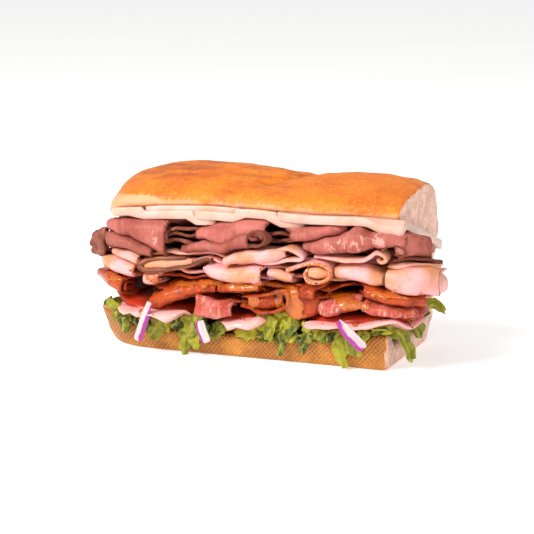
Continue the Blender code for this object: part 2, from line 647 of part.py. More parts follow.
def build_rounds(tomato, mayonnaise):
    for name, cx, cy, radius, low, high in TOMATOES:

        def slice_at(u, v, side, cx=cx, cy=cy, radius=radius, low=low, high=high):
            a, b = on_disc(u, v)
            x = cx + a * radius
            y = cy + b * radius
            return x, y, stack_z(x, y, high if side > 0 else low)

        add_object(name, thick_grid(7, 7, slice_at), tomato)
    for name, cx, cy, half_x, half_y, low, high in DOLLOPS:

        def dollop_at(u, v, side, cx=cx, cy=cy, half_x=half_x, half_y=half_y, low=low, high=high):
            a, b = on_disc(u, v)
            angle = math.atan2(b, a)
            lobe = 1 + 0.05 * math.sin(5 * angle + cx) + 0.04 * math.sin(9 * angle + 1.3)
            x = cx + a * half_x * lobe
            y = cy + b * half_y * lobe
            rim = math.sqrt(max(1 - (a * a + b * b) ** 3, 0.0))
            middle = (low + high) / 2
            drip = DRIP * smooth((DRIP_Y - y) / 2.6)
            return x, y, stack_z(x, y, middle + side * (0.3 + 0.7 * rim) * (high - low) / 2) - drip

        add_object(name, thick_grid(8, 7, dollop_at), mayonnaise)


def build_onions(mat):
    for name, width, points in ONIONS:

        def place(u, v, side, width=width, points=points):
            x, y, z = curve_point(points, u)
            xb, yb, zb = curve_point(points, min(u + 0.02, 1.0))
            xa, ya, za = curve_point(points, max(u - 0.02, 0.0))
            length = math.hypot(xb - xa, zb - za)
            across = (v - 0.5) * width * (0.55 + 0.45 * smooth(u * 2.5))
            return x - (zb - za) / length * across, y + side * ONION_T / 2, z + (xb - xa) / length * across

        add_object(name, thick_grid(6, 1, place), mat)


def heap_top(x, y):
    """Uneven top of the heap of lettuce, just under the bed of the fillings."""
    return bed_z(x, y) - GAP - 0.5 * (1 + math.sin(x * 0.55 + 2 * math.sin(y * 0.3)))


def heap_place(u, v, side):
    """The core of the heap of lettuce: fills the base's hollow up to the bed."""
    a, b = on_disc(u, v)
    square = smooth((u - 0.5) / 0.25)
    a += (2 * u - 1 - a) * square
    b += (2 * v - 1 - b) * square
    x = 4.0 + 70.0 * a
    y = -3.5 + (27.5 if b > 0 else 27.4) * math.copysign(abs(b) ** 0.9, b)
    top = heap_top(x, y)
    hollow = 9.6 + max(abs(y + 1.0) - 17.0, 0.0) * 0.34
    if y < 0:
        hollow = max(hollow, 9.6 + (along(LIP_LINE, x) - 10.6) * smooth((-y - 17.0) / 9.0))
    hollow = max(hollow, 9.6 + 0.7 * (-40.0 - x))
    return x, y, top if side > 0 else min(hollow, top - 0.6)


def leaf_place(leaf, seed):
    x_top, x_tip, z_tip, w_top, w_tip, front, rise = leaf
    wave = random.Random(seed).uniform(0, 6)
    bend = along(LIP_LINE, x_top) + 0.95 + rise
    path = (
        (x_top, -25.0, bend - 1.6),
        (x_top, -31.5, bend - 0.2),
        (x_top, front + 1.4, bend),
        ((x_top * 2 + x_tip) / 3, front, (bend + z_tip) / 2),
        (x_tip, front - 0.4, z_tip),
    )

    def point_at(u, v):
        x, y, z = curve_point(path, u)
        width = w_top + (w_tip - w_top) * smooth(u)
        crumple = 0.7 * math.sin(v * 7 + wave + u * 3) * smooth((u - 0.3) * 2)
        return x + (v - 0.5) * width, y - crumple, z

    return lambda u, v, side: offset(point_at, u, v, side, LEAF_T)


def end_leaf_place(path, width):
    dx = path[2][0] - path[0][0]
    dy = path[2][1] - path[0][1]
    length = math.hypot(dx, dy)

    def point_at(u, v):
        x, y, z = curve_point(path, u)
        crumple = 0.8 * math.sin(v * 6 + u * 4) * smooth((u - 0.3) * 2)
        across = (v - 0.5) * width
        return x + (crumple * dx - across * dy) / length, y + (crumple * dy + across * dx) / length, z

    return lambda u, v, side: offset(point_at, u, v, side, LEAF_T)


def build_lettuce(mat):
    pieces = [add_object("lettuce_core", thick_grid(18, 9, heap_place), mat)]
    for i, leaf in enumerate(LEAVES):
        pieces.append(add_object("leaf_%d" % i, thick_grid(6, 2, leaf_place(leaf, i)), mat))
    for i, (p0, p1, p2, width) in enumerate(END_LEAVES):
        grid = thick_grid(6, 2, end_leaf_place((p0, p1, p2), width))
        pieces.append(add_object("end_leaf_%d" % i, grid, mat))
    fuse("lettuce", pieces, mat)


def clear_scene():
    for obj in list(bpy.data.objects):
        bpy.data.objects.remove(obj)


def main():
    clear_scene()
    bpy.context.scene.unit_settings.system = "METRIC"
    collection = bpy.data.collections.new(COLLECTION)
    bpy.context.scene.collection.children.link(collection)
    mats = {
        "beef": material("beef", (0.52, 0.21, 0.19), 0.42, 0.2),
        "turkey": material("turkey", (0.86, 0.62, 0.55), 0.45, 0.1),
        "spiced": material("spiced_sausage", (0.66, 0.16, 0.04), 0.28, 0.5),
    }
    build_bread(material("crust", (0.78, 0.40, 0.12), 0.5))
    build_cheese(material("cheese", (0.93, 0.89, 0.74), 0.4))
    build_meat(mats)
    tomato = material("tomato", (0.62, 0.06, 0.02), 0.2, 0.5)
    build_rounds(tomato, material("mayonnaise", (0.95, 0.9, 0.84), 0.3))
    build_onions(material("onion", (0.9, 0.82, 0.88), 0.3))
    build_lettuce(material("lettuce", (0.32, 0.48, 0.07), 0.4))


main()
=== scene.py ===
"""Looks of a filled submarine sandwich, laid over its solids.

The roll lies along X with its cut end at +X and its open side towards -Y. Tables and
functions are in millimetres, meshes in metres. The fillings are laid out by stack height,
a scale from FLOOR_H on the bed of lettuce to ROOF_H under the lid of the roll.
"""

import json
import math
import random

import bpy
import numpy as np
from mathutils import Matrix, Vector, kdtree, noise
from mathutils.bvhtree import BVHTree

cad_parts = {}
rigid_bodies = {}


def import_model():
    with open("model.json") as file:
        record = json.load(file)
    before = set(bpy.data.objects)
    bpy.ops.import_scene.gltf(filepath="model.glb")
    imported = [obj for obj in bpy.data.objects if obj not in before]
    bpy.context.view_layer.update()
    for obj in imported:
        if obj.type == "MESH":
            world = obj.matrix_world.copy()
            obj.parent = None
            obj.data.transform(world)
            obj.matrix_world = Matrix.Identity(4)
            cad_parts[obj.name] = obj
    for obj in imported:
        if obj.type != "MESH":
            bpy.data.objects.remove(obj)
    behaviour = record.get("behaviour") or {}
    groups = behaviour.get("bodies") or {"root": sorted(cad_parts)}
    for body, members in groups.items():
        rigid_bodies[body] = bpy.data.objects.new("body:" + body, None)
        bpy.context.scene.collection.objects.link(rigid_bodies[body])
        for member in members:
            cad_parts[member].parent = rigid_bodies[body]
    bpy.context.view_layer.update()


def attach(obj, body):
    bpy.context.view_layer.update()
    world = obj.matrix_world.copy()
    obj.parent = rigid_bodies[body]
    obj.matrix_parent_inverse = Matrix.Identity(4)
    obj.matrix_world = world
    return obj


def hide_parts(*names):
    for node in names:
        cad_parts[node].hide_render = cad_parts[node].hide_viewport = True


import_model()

bl_info = {
    "name": "Submarine sandwich",
    "version": (1, 0, 0),
    "blender": (4, 5, 0),
    "location": "3D View > Sidebar > Sandwich",
    "description": "Builds a filled submarine sandwich piece by piece",
    "category": "Add Mesh",
}

MM = 0.001  # in metres

# Driving dimensions of the roll, millimetres
ROLL_CUT_X = 76.0  # the cut end at z = 0
CUT_LEAN = 0.075  # how far the cut leans outwards for each millimetre of height
ROLL_CENTRE_Y = 1.3
LID_TILT = 0.3365  # fall of the lid's underside for each millimetre towards the hinge
LID_FRONT_Y = -31.0
LID_BACK_Y = 34.0
LID_LEFT_X = -70.4
LID_ROUND_X = -48.0
LID_ROUNDNESS = 2.5  # exponent of the rounded end's outline
LID_MIDDLE_Z = 70.0
CROWN_Y = 8.0  # where CROWN_LINE runs
CROWN_CUT_X = 83.0
CREASE_X = 28.0  # the diagonal crease, where it crosses the crown
CREASE_Y = 2.0  # the middle of its length
CREASE_SLANT = 0.75
CREASE_HALF = 5.0
CREASE_DEPTH = 1.5
CREASE_RISE = 9.0  # it leaves the section's points below this height over the underside alone
BASE_ROUND = 0.23  # share of the length that rounds off at the left end
BASE_ROUNDNESS = 2.4
BASE_MIDDLE_Z = 10.0
HOLLOW_LEFT_X = -60.0
HOLLOW_HALF_Y = 34.0
HOLLOW_LOW_Z = 8.0
HOLLOW_END = 8.0  # length over which its floor rises to the left end's edge
HINGE_LEFT_X = -55.0
HINGE_TAPER = 0.16  # share of the hinge's length over which it thins at the left
HINGE_THIN_Y = 28.4
HINGE_FLARE = 5.0  # how much further left it reaches at the lid and the base
HINGE_WAIST_Z = 33.0
HINGE_HALF_Z = 22.0
HINGE_OUTER = 7  # first outer point of its section
HINGE_TORN = 8.0  # length of its torn left edge

# Driving dimensions of the fillings, millimetres
FLOOR_H = 14.0
ROOF_H = 68.0
ROOF_GAP = 0.65
BACK_FLOOR_Z = 20.0
BED_FRONT_Y = -36.0
BED_DEPTH = 72.0
SHEET_PITCH = 2.3  # one slice of cheese and its gap
CHEESE_T = 1.9
BEEF_T = 1.7
TURKEY_T = 1.9
SPICED_T = 1.5
ONION_T = 1.6
SHRED_T = 0.6
GAP = 0.35
FOLD_REACH = 6.0  # depth over which the ends of a fold come in
FOLD_END = 2.4  # how much shorter a slice is at its back
SLANT_REACH = 26.0  # how far back the right ends of the slices slant
NARROWEST = 5.0
FILL_BACK_Y = 24.6
FRONT_Y = -42.0  # the open side as the camera sees it
HEAP_X = 4.0
HEAP_Y = -3.5
HEAP_HALF_X = 70.0
HEAP_BACK = 27.5
HEAP_FRONT = 27.4
HEAP_LOW_Z = 9.6
HEAP_WALL_Y = 17.0  # where the hollow's floor begins to rise
HEAP_WALL_SLOPE = 0.34
HEAP_LEFT_X = -40.0
HEAP_LEFT_SLOPE = 0.7
HEAP_DIP = 0.5
HEAP_THINNEST = 0.6
SHRED_LEAST_Y = -46.4
SHRED_LEAST_Z = 0.1

# Camera, solved from the photograph: angles in degrees, place in millimetres
VIEW_AROUND = math.radians(21.35)
VIEW_ABOVE = math.radians(11.58)
LOOK_AT = Vector((5.4, 0.0, 36.5))
VIEW_DISTANCE = 952.0
LENS = 134.83
SENSOR = 36.0
TOWARDS = Vector((
    -math.sin(VIEW_AROUND) * math.cos(VIEW_ABOVE),
    math.cos(VIEW_AROUND) * math.cos(VIEW_ABOVE),
    -math.sin(VIEW_ABOVE),
))
RAY_START = 80.0  # how far in front of the open side rays begin

# Fineness of curves and meshes
FINE = 200
LINE_SPANS = 96
PROFILE_TALL = 10.0  # height of a profile when its points are spread evenly
RIM_ROW = 0.35  # first row of a sheet from its edge, in thicknesses
NOISE_SEED = 11

# Height of the lid's underside over x, at y = 0
LID_LINE = (
    (-80, 54.6), (-62, 55.0), (-35, 58.0), (-10, 59.5), (20, 59.0), (41, 58.4), (61, 59.2), (82, 58.8),
)
# Height of the bed under the fillings over x, at the open side
BED_LINE = (
    (-80, 22.0), (-62, 20.0), (-52, 16.0), (-40, 12.5), (-14, 12.0), (6, 12.8), (26, 14.0), (50, 15.5),
    (76, 18.4),
)
# Top of the base's front edge over x
LIP_LINE = (
    (-80, 15.6), (-62, 16.6), (-52, 14.0), (-40, 10.9), (-14, 10.5), (6, 11.3), (26, 12.4), (50, 13.7),
    (64, 15.2), (76, 17.8),
)
# Top outline of the lid over x, at CROWN_Y
CROWN_LINE = (
    (-70.4, 64.0), (-69.6, 68.0), (-67.4, 72.0), (-63.4, 75.2), (-58.4, 77.6), (-52.8, 79.4),
    (-45.2, 81.4), (-35.1, 82.5), (-21.8, 83.2), (-8.6, 82.8), (1.3, 81.9), (8.9, 81.2),
    (17.0, 80.6), (28.0, 80.4), (34.7, 81.0), (48.6, 81.6), (62.3, 81.4), (72.6, 80.6), (83.0, 78.4),
)
# Section of the lid at its cut end: y, and height over the underside
LID_SECTION = (
    (-31.0, 0.0), (-32.6, 1.4), (-31.9, 3.6), (-28.6, 6.6), (-23.0, 10.0), (-12.0, 16.0), (-2.0, 20.6),
    (6.0, 23.4), (12.0, 24.4), (18.0, 24.2), (23.5, 22.4), (28.4, 18.0), (31.6, 12.4),
    (33.6, 7.0), (33.4, 1.8), (31.6, 0.0), (15.0, 0.0), (0.0, 0.0), (-15.0, 0.0),
)
# Section of the base: y, z, and 1 where z follows the front edge's height instead
BASE_SECTION = (
    (-31.0, 0.0, 0), (-33.6, 1.0, 0), (-35.0, 5.5, 0), (-35.6, -6.0, 1), (-35.8, -1.6, 1), (-34.4, 0.0, 1),
    (-31.6, -0.8, 1), (-27.0, -3.2, 1), (-20.0, 9.0, 0), (-8.0, 8.4, 0), (8.0, 8.4, 0), (19.0, 9.2, 0),
    (26.0, 11.6, 0), (29.0, 15.0, 0), (33.0, 18.2, 0), (36.6, 16.6, 0), (36.4, 11.0, 0), (34.0, 4.8, 0),
    (30.6, 0.8, 0), (28.0, 0.0, 0), (0.0, 0.0, 0),
)
# Left end of the base over z
BASE_LEFT = ((0, -69.6), (3, -72.0), (7, -73.4), (11, -74.8), (15, -76.6), (20, -77.6))
# Section of the hinge wall: y, z
HINGE_SECTION = (
    (30.0, 9.0), (27.4, 14.0), (26.0, 22.0), (25.5, 32.0), (25.8, 42.0), (26.6, 50.0), (29.0, 56.0),
    (32.4, 55.0), (33.5, 49.5), (31.6, 42.5), (31.0, 36.0), (32.2, 28.0), (35.4, 20.0), (36.3, 15.0),
    (34.4, 9.0),
)

# Sheets of cheese: name, left x, right x, front y, and how many sheets hang above them over x
CHEESE = (
    ("cheese_1", -60.0, -7.0, -35.6, (
        (-62, 0.0), (-50, 0.0), (-42, 1.0), (-21, 1.0), (-16, 2.2), (-6, 2.2),
    )),
    ("cheese_2", -43.0, 4.5, -34.4, ((-40, 0.0), (2, 0.0))),
    ("cheese_3", -17.5, 37.0, -36.6, ((-15, 1.0), (3, 1.0), (9, 0.0), (19, 0.0), (26, 1.22), (37, 1.22))),
    ("cheese_4", 24.0, 84.5, -37.6, ((27, 0.0), (85, 0.0))),
)
# How many sheets of cheese lie over the meat, over x
CHEESE_COUNT = (
    (-62, 1.0), (-51, 1.0), (-43, 2.05), (-23, 2.05), (-17, 3.2), (-5, 3.2), (-2, 2.1), (5, 2.1), (11, 1.0),
    (18, 1.0), (25, 2.2), (38, 2.2), (41, 1.0), (90, 1.0),
)

# Profiles of folds: depth behind the fold line, and height as a share between low and high
NOSE = (
    (1.0, 1.0), (0.62, 1.0), (0.3, 1.0), (0.09, 0.98), (0.0, 0.78), (-0.01, 0.5), (0.0, 0.22),
    (0.09, 0.02), (0.3, 0.0), (0.6, 0.0), (0.92, 0.0),
)
SPIRAL = (
    (0.62, 0.7), (0.3, 0.72), (0.12, 0.71), (0.07, 0.58), (0.12, 0.42), (0.4, 0.36), (0.8, 0.36),
    (0.93, 0.62),
    (0.8, 0.98), (0.45, 1.0), (0.09, 0.98), (0.0, 0.78), (-0.01, 0.5), (0.0, 0.22), (0.09, 0.02),
    (0.4, 0.0), (0.86, 0.0),
)
SHELF = ((0.03, 1.0), (0.0, 0.8), (-0.01, 0.45), (0.03, 0.12), (0.12, 0.0), (0.45, 0.0), (0.92, 0.0))
PAGE = ((0.0, 0.35), (0.2, 0.6), (0.5, 0.9), (0.92, 1.0))
SLOPE = (
    (0.75, 1.0), (0.4, 1.0), (0.24, 0.86), (0.09, 0.6), (0.015, 0.46), (0.0, 0.34), (0.0, 0.14),
    (0.06, 0.0), (0.4, 0.0),
)
CURTAIN = (
    (0.02, 0.0), (-0.04, 0.2), (-0.06, 0.6), (0.0, 0.95), (0.09, 1.0), (0.17, 0.85), (0.5, 0.64),
    (0.95, 0.62),
)

# Slices folded along the sandwich: name, thickness, profile, reach to the back, how far
# the fold line falls short at its left and right end and how the right end slants back,
# and stations of the fold line from left to right: x, y, low, high
FOLDS = (
    ("beef_1", BEEF_T, SPIRAL, 52, (6, 0, 0), (
        (-69, -22, 57.4, 60.6), (-60, -33, 56.8, 62.2), (-46, -38, 54.4, 61.6),
        (-37, -39.5, 50.6, 61.0), (-29.5, -40, 46.6, 60.6),
    )),
    ("beef_2", BEEF_T, NOSE, 24, (3, 0, 0), (
        (-83, -4, 43.4, 52.0), (-78.5, -15, 42.4, 55.4), (-71.5, -24, 42.4, 55.8),
        (-66, -30, 43.0, 54.6),
    )),
    ("beef_3", BEEF_T, NOSE, 64, (0, 0, 0), (
        (-64.6, -31, 46.8, 54.6), (-54, -36, 48.6, 53.8), (-45, -38, 48.2, 51.6),
        (-38, -38.5, 47.0, 48.6),
    )),
    ("beef_4", BEEF_T, NOSE, 64, (-3, 1.5, 0), (
        (-15, -34, 54.6, 57.4), (-8, -37, 53.6, 59.2), (0, -38.5, 53.8, 61.4), (12, -39.5, 55.8, 63.2),
        (21.5, -40, 57.2, 62.8),
    )),
    ("beef_5", BEEF_T, SHELF, 64, (0, 0, 0), (
        (-24, -34, 47.6, 49.4), (-12, -38, 49.8, 52.0), (0, -40.5, 51.6, 53.8), (9, -43.0, 53.0, 57.4),
        (13, -43.4, 53.3, 58.4),
    )),
    ("beef_6", BEEF_T, NOSE, 64, (7, 0, 0), (
        (25.5, -40, 56.4, 60.8), (33, -40.5, 57.4, 60.8), (42, -40, 59.2, 62.0), (50, -37, 60.8, 63.4),
        (57, -31, 61.6, 63.6),
    )),
    ("beef_7", BEEF_T, NOSE, 64, (0, 0, 0), (
        (37.5, -38, 54.4, 55.8), (44, -41, 53.4, 57.4), (52, -42, 53.4, 58.4), (58, -42, 53.4, 59.8),
        (63.5, -42.5, 53.6, 63.0), (69, -41, 55.0, 61.2), (72.5, -39, 57.2, 60.0),
    )),
    ("beef_8", BEEF_T, NOSE, 58, (8, 2, 0.42), (
        (73.5, -38, 55.8, 61.2), (80, -38, 52.8, 61.4), (89, -34, 52.0, 60.8), (96.0, -26, 53.0, 59.8),
    )),
    ("beef_9", BEEF_T, PAGE, 60, (0, 0, 0.42), (
        (79, -35, 49.3, 50.0), (90, -31, 49.3, 50.0), (99.0, -22, 49.0, 50.2),
    )),
    ("turkey_1", TURKEY_T, NOSE, 64, (0, 0, 0), (
        (-67, -28, 34.4, 40.2), (-59, -35, 34.8, 40.8), (-51, -38, 35.4, 40.6),
        (-46.0, -39, 36.2, 40.2),
    )),
    ("turkey_2", TURKEY_T, NOSE, 64, (0, 0, 0), (
        (-62, -30, 43.2, 44.8), (-54, -35, 43.0, 46.2), (-47, -38, 43.0, 45.8),
        (-44.0, -38.5, 43.2, 45.2),
    )),
    ("turkey_4", TURKEY_T, NOSE, 30, (0, 0, 0), (
        (-41.5, -38, 34.2, 37.2), (-37, -39.5, 34.4, 37.2), (-33, -39.5, 35.2, 37.2),
    )),
    ("turkey_5", TURKEY_T, NOSE, 64, (-3, 1, 0), (
        (-10.5, -36, 39.2, 41.6), (-5, -39, 38.4, 42.6), (5, -41, 37.8, 42.8), (13, -42, 37.4, 43.6),
        (19.8, -42, 37.6, 44.2),
    )),
    ("turkey_6", TURKEY_T, SHELF, 60, (0, 0, 0), (
        (21.4, -38, 41.2, 43.2), (26, -39, 39.8, 42.4), (33, -38, 38.6, 40.2),
    )),
    ("turkey_9", TURKEY_T, NOSE, 64, (-3, 0, 0), (
        (54.6, -38.5, 41.6, 45.6), (61, -40.5, 40.4, 45.6), (68, -41, 39.4, 45.0),
        (72.5, -40, 38.6, 42.6), (76, -38, 38.6, 41.2),
    )),
    ("turkey_11", TURKEY_T, PAGE, 64, (0, 0, 0.38), (
        (77.6, -37, 46.2, 47.4), (86, -35, 46.2, 47.6), (98.5, -24, 46.2, 47.6),
    )),
    ("turkey_12", TURKEY_T, NOSE, 17, (-2, -1, 0.2), (
        (77.8, -40, 38.0, 43.8), (83, -39.5, 36.6, 44.2), (91, -36.5, 35.2, 44.4),
        (98.5, -28, 34.6, 44.2),
    )),
    ("turkey_13", TURKEY_T, NOSE, 30, (0, 0, 0.12), (
        (78, -14, 38.4, 44.0), (86, -12, 37.0, 44.0), (94, -9, 35.4, 43.4),
    )),
    ("spiced_1", SPICED_T, NOSE, 62, (-2, 3, 0), (
        (-74.5, -19, 26.4, 30.4), (-68, -27, 25.0, 31.8), (-59, -35.5, 24.8, 32.2),
        (-50, -40.5, 24.8, 32.8),
    )),
    ("spiced_2", SPICED_T, SLOPE, 64, (0, 0, 0), (
        (-38, -38.5, 25.4, 30.8), (-33, -41.5, 24.2, 32.8), (-27, -42.5, 26.2, 36.2),
        (-17, -41.5, 29.0, 37.0), (-9.5, -40, 31.0, 36.6), (-5.5, -37, 32.4, 35.4),
    )),
    ("spiced_3", SPICED_T, CURTAIN, 24, (0, 0, 0), (
        (-13.6, -42.2, 21.6, 29.0), (-8, -43.8, 21.4, 29.0), (-1, -44.2, 21.8, 29.0),
        (5, -42.5, 23.6, 27.2),
    )),
    ("spiced_4", SPICED_T, NOSE, 64, (-2, 0, 0), (
        (-3.5, -37, 32.6, 35.0), (4, -39.5, 32.4, 35.4), (12, -40.5, 33.4, 35.6),
        (17.4, -40, 34.0, 35.8),
    )),
    ("spiced_6", SPICED_T, NOSE, 64, (-2, 5, 0), (
        (33, -38, 31.2, 33.8), (39, -41, 31.0, 36.2), (45, -42.5, 31.6, 37.0), (49.5, -43, 32.2, 37.0),
    )),
    ("spiced_7", SPICED_T, NOSE, 64, (7, 3, 0.38), (
        (60.5, -38, 33.8, 38.0), (67, -41, 32.8, 37.2), (77, -41.5, 30.8, 34.6),
        (88, -37.5, 28.8, 33.0), (96, -30, 27.2, 32.4),
    )),
    ("spiced_8", SPICED_T, NOSE, 34, (4, -1, 0), (
        (43.5, -41, 25.2, 29.2), (52, -44, 24.4, 30.2), (60, -44, 25.6, 30.8), (66, -42, 28.0, 30.6),
    )),
    ("spiced_9", SPICED_T, NOSE, 34, (-2, -2, 0.3), (
        (67.6, -42, 25.6, 29.8), (75, -42.5, 24.2, 28.6), (83, -40.5, 23.6, 27.0),
        (90.5, -36, 23.4, 25.4),
    )),
)

# Slices rolled or folded across the sandwich: name, thickness, profile as x and stack
# height at the open side, front y, depth, rise of its upper part at the back, drift of
# the back end to the left, and how far the ends of the edge stand back
ROLLS = (
    ("turkey_3", TURKEY_T, (
        (-20, 45.2), (-31, 45.0), (-38, 45.0), (-42.6, 42.8), (-40, 40.2), (-31, 39.9), (-20, 41.8),
        (-14, 44.0), (-9.6, 45.6), (-7.2, 45.4),
    ), -42, 60, 0.0, 0, 5),
    ("turkey_7", TURKEY_T, (
        (0, 47.6), (7, 48.0), (14, 48.8), (21, 50.2), (27, 52.0), (32, 52.6), (36.4, 52.0),
        (38.2, 50.4), (36.4, 48.8), (31, 47.6), (23, 46.8), (12, 46.2), (4, 45.8),
    ), -43, 66, 1.6, 6, 4),
    ("turkey_8", TURKEY_T, (
        (30.5, 43.6), (33.4, 44.2), (36.6, 45.6), (41.5, 48.0), (47.5, 48.2), (51.6, 45.6),
        (51.6, 42.2), (47.4, 40.0), (42, 40.2), (39.8, 42.8), (41.4, 45.4),
    ), -43, 64, 0.0, 4, 2),
    ("turkey_10", TURKEY_T, (
        (43, 50.9), (49, 51.1), (55, 50.0), (62, 49.0), (67, 49.2), (70.4, 51.2), (73.4, 53.6),
        (76.6, 52.6), (77.2, 50.2), (75, 49.2), (73.0, 50.6),
    ), -42, 62, 0.0, 4, 3),
    ("spiced_5", SPICED_T, (
        (8, 29.8), (14, 31.2), (20, 32.4), (26.5, 34.2), (30.8, 33.4), (31.8, 30.4), (29.6, 26.8),
        (23.6, 24.6), (15, 24.8), (8, 26.0),
    ), -43.5, 64, 0.0, 2, 4),
)

# Slices of tomato: name, x, y, radius, low and high
TOMATOES = (
    ("tomato_1", -38.0, -12.5, 26.4, 18.8, 23.2),
    ("tomato_2", 7.0, -20.6, 18.2, 18.2, 20.8),
    ("tomato_3", 59.5, -11.5, 28.0, 18.0, 22.2),
)
# Dollops of mayonnaise: name, x, y, half length, half width, low and high
DOLLOPS = (
    ("mayonnaise_1", -37.0, -21.0, 20.5, 21.8, 14.4, 18.2),
    ("mayonnaise_2", 9.0, -24.0, 12.5, 18.4, 14.4, 17.6),
    ("mayonnaise_3", 61.0, -20.0, 27.0, 22.2, 14.4, 17.4),
)
# Strips of onion: name, width, and points of their centre line
ONIONS = (
    ("onion_1", 4.0, ((-35.0, -43.8, 25.6), (-38.4, -43.6, 15.5), (-42.0, -42.6, 6.6))),
    ("onion_2", 4.6, ((-10.4, -42.2, 18.6), (-9.4, -42.6, 14.6), (-7.0, -42.2, 8.6))),
    ("onion_3", 5.2, ((57.4, -43.6, 24.4), (62.6, -43.6, 19.0), (69.4, -42.6, 12.4))),
)

def clamp(value, low, high):
    return max(low, min(high, value))


def smooth(value):
    value = clamp(value, 0.0, 1.0)
    return value * value * (3.0 - 2.0 * value)


def along(table, x):
    """Straight interpolation in a table of (x, value)."""
    if x <= table[0][0]:
        return table[0][1]
    for (x0, v0), (x1, v1) in zip(table, table[1:]):
        if x <= x1:
            return v0 + (v1 - v0) * (x - x0) / (x1 - x0)
    return table[-1][1]


def spline(p0, p1, p2, p3, f):
    """A smooth curve from p1 to p2, f from 0 to 1."""
    square = (2 * p0 - 5 * p1 + 4 * p2 - p3) * f**2
    cube = (3 * p1 - p0 - 3 * p2 + p3) * f**3
    return (2 * p1 + (p2 - p0) * f + square + cube) / 2


def curve_point(points, t):
    """Point of a smooth curve through the points, t from 0 to 1."""
    spans = len(points) - 1
    i = min(int(t * spans), spans - 1)
    near = (points[max(i - 1, 0)], points[i], points[i + 1], points[min(i + 2, spans)])
    return [spline(*values, t * spans - i) for values in zip(*near)]


def even_curve(points, count):
    """Points spread evenly along the smooth curve, count spans."""
    fine = [curve_point(points, i / FINE) for i in range(FINE + 1)]
    lengths = [0.0]
    for a, b in zip(fine, fine[1:]):
        lengths.append(lengths[-1] + math.dist(a, b))
    out = []
    j = 0
    for i in range(count + 1):
        target = lengths[-1] * i / count
        while j < FINE - 1 and lengths[j + 1] < target:
            j += 1
        f = (target - lengths[j]) / max(lengths[j + 1] - lengths[j], 1e-9)
        out.append([a + (b - a) * f for a, b in zip(fine[j], fine[j + 1])])
    return out


def even_ring(points, count):
    """Points spread evenly round a smooth closed curve."""
    pts = np.array(points, float)
    n = len(pts)
    out = []
    for i in range(n):
        for f in np.linspace(0, 1, 24, endpoint=False):
            out.append(spline(pts[i - 1], pts[i], pts[(i + 1) % n], pts[(i + 2) % n], f))
    out = np.array(out + [out[0]])
    length = np.concatenate(([0], np.cumsum(np.linalg.norm(np.diff(out, axis=0), axis=1))))
    spots = np.linspace(0, length[-1], count, endpoint=False)
    return np.stack([np.interp(spots, length, out[:, k]) for k in range(out.shape[1])], axis=1)


def station(points, x):
    """Smooth interpolation of the stations of a fold line over their own x."""
    for i, (a, b) in enumerate(zip(points, points[1:])):
        if x <= b[0] or i == len(points) - 2:
            f = (x - a[0]) / (b[0] - a[0])
            return curve_point(points, (i + f) / (len(points) - 1))
    return points[-1]


def lid_z(x, y):
    return along(LID_LINE, x) - clamp(y, LID_FRONT_Y, LID_BACK_Y) * LID_TILT


def bed_z(x, y):
    front = along(BED_LINE, x)
    return front + (BACK_FLOOR_Z - front) * smooth((y - BED_FRONT_Y) / BED_DEPTH)


def stack_span(x, y):
    """Bottom and top of the stack in millimetres, and its top on its own scale."""
    cheese = SHEET_PITCH * along(CHEESE_COUNT, x)
    return bed_z(x, y), lid_z(x, y) - ROOF_GAP - cheese, ROOF_H - ROOF_GAP - cheese


def stack_z(x, y, h):
    """Height in millimetres of a place in the stack."""
    low, roof, roof_h = stack_span(x, y)
    return low + (h - FLOOR_H) / (roof_h - FLOOR_H) * (roof - low)


def stack_share(x, y, z):
    """How much lower the stack is than its own scale, at this place."""
    low, roof, roof_h = stack_span(x, y)
    return clamp((roof - low) / (roof_h - FLOOR_H), 0.5, 1.0)


def fold_sheet(profile, reach, short, stations):
    """Sheet function of a slice folded along the sandwich."""
    line = even_curve([(a * reach, k * PROFILE_TALL) for a, k in profile], LINE_SPANS)
    short_left, short_right, slant = short

    def point_at(u, v):
        a, k = curve_point(line, u)
        at_fold = math.exp(-((a / FOLD_REACH) ** 2))
        at_back = FOLD_END * (1.0 - at_fold) * smooth(a / reach)
        left = stations[0][0] + short_left * at_fold + at_back
        right = stations[-1][0] - short_right * at_fold - at_back - slant * min(a, SLANT_REACH)
        right = max(right, left + NARROWEST)
        x, y, low, high = station(stations, left + (right - left) * v)
        return x, y + a * min(1.0, (FILL_BACK_Y - y) / reach), low + (high - low) * k / PROFILE_TALL

    return point_at


def roll_sheet(profile, front, depth, rise, drift, stand_back):
    """Sheet function of a slice rolled or folded across the sandwich."""
    line = even_curve(profile, LINE_SPANS)

    def point_at(u, v):
        x, h = curve_point(line, u)
        edge = stand_back * (2 * u - 1) ** 2
        y = front + edge + (depth - edge) * v
        upper = math.sin(math.pi * clamp(u * 1.6, 0.0, 1.0))
        return x - drift * v, y, h + rise * upper * smooth(v * 1.6)

    return point_at


def cut_x(z):
    return ROLL_CUT_X + CUT_LEAN * z


def crease_away(x, y):
    """Distance along X from the diagonal crease between the two swells of the lid."""
    return x - CREASE_X - (y - CROWN_Y) * CREASE_SLANT


def crease(x, y):
    """Depth of the crease."""
    across = crease_away(x, y) / CREASE_HALF
    return CREASE_DEPTH * math.exp(-across * across) * smooth((26.0 - abs(y - CREASE_Y)) / 16.0)


def rounded(narrow, power):
    """Width of a rounded end, narrow from 0 where it begins to 1 at its tip."""
    return max(1.0 - narrow**power, 0.0) ** (1 / power)


def lid_height(x):
    return along(CROWN_LINE, x) - lid_z(x, CROWN_Y)


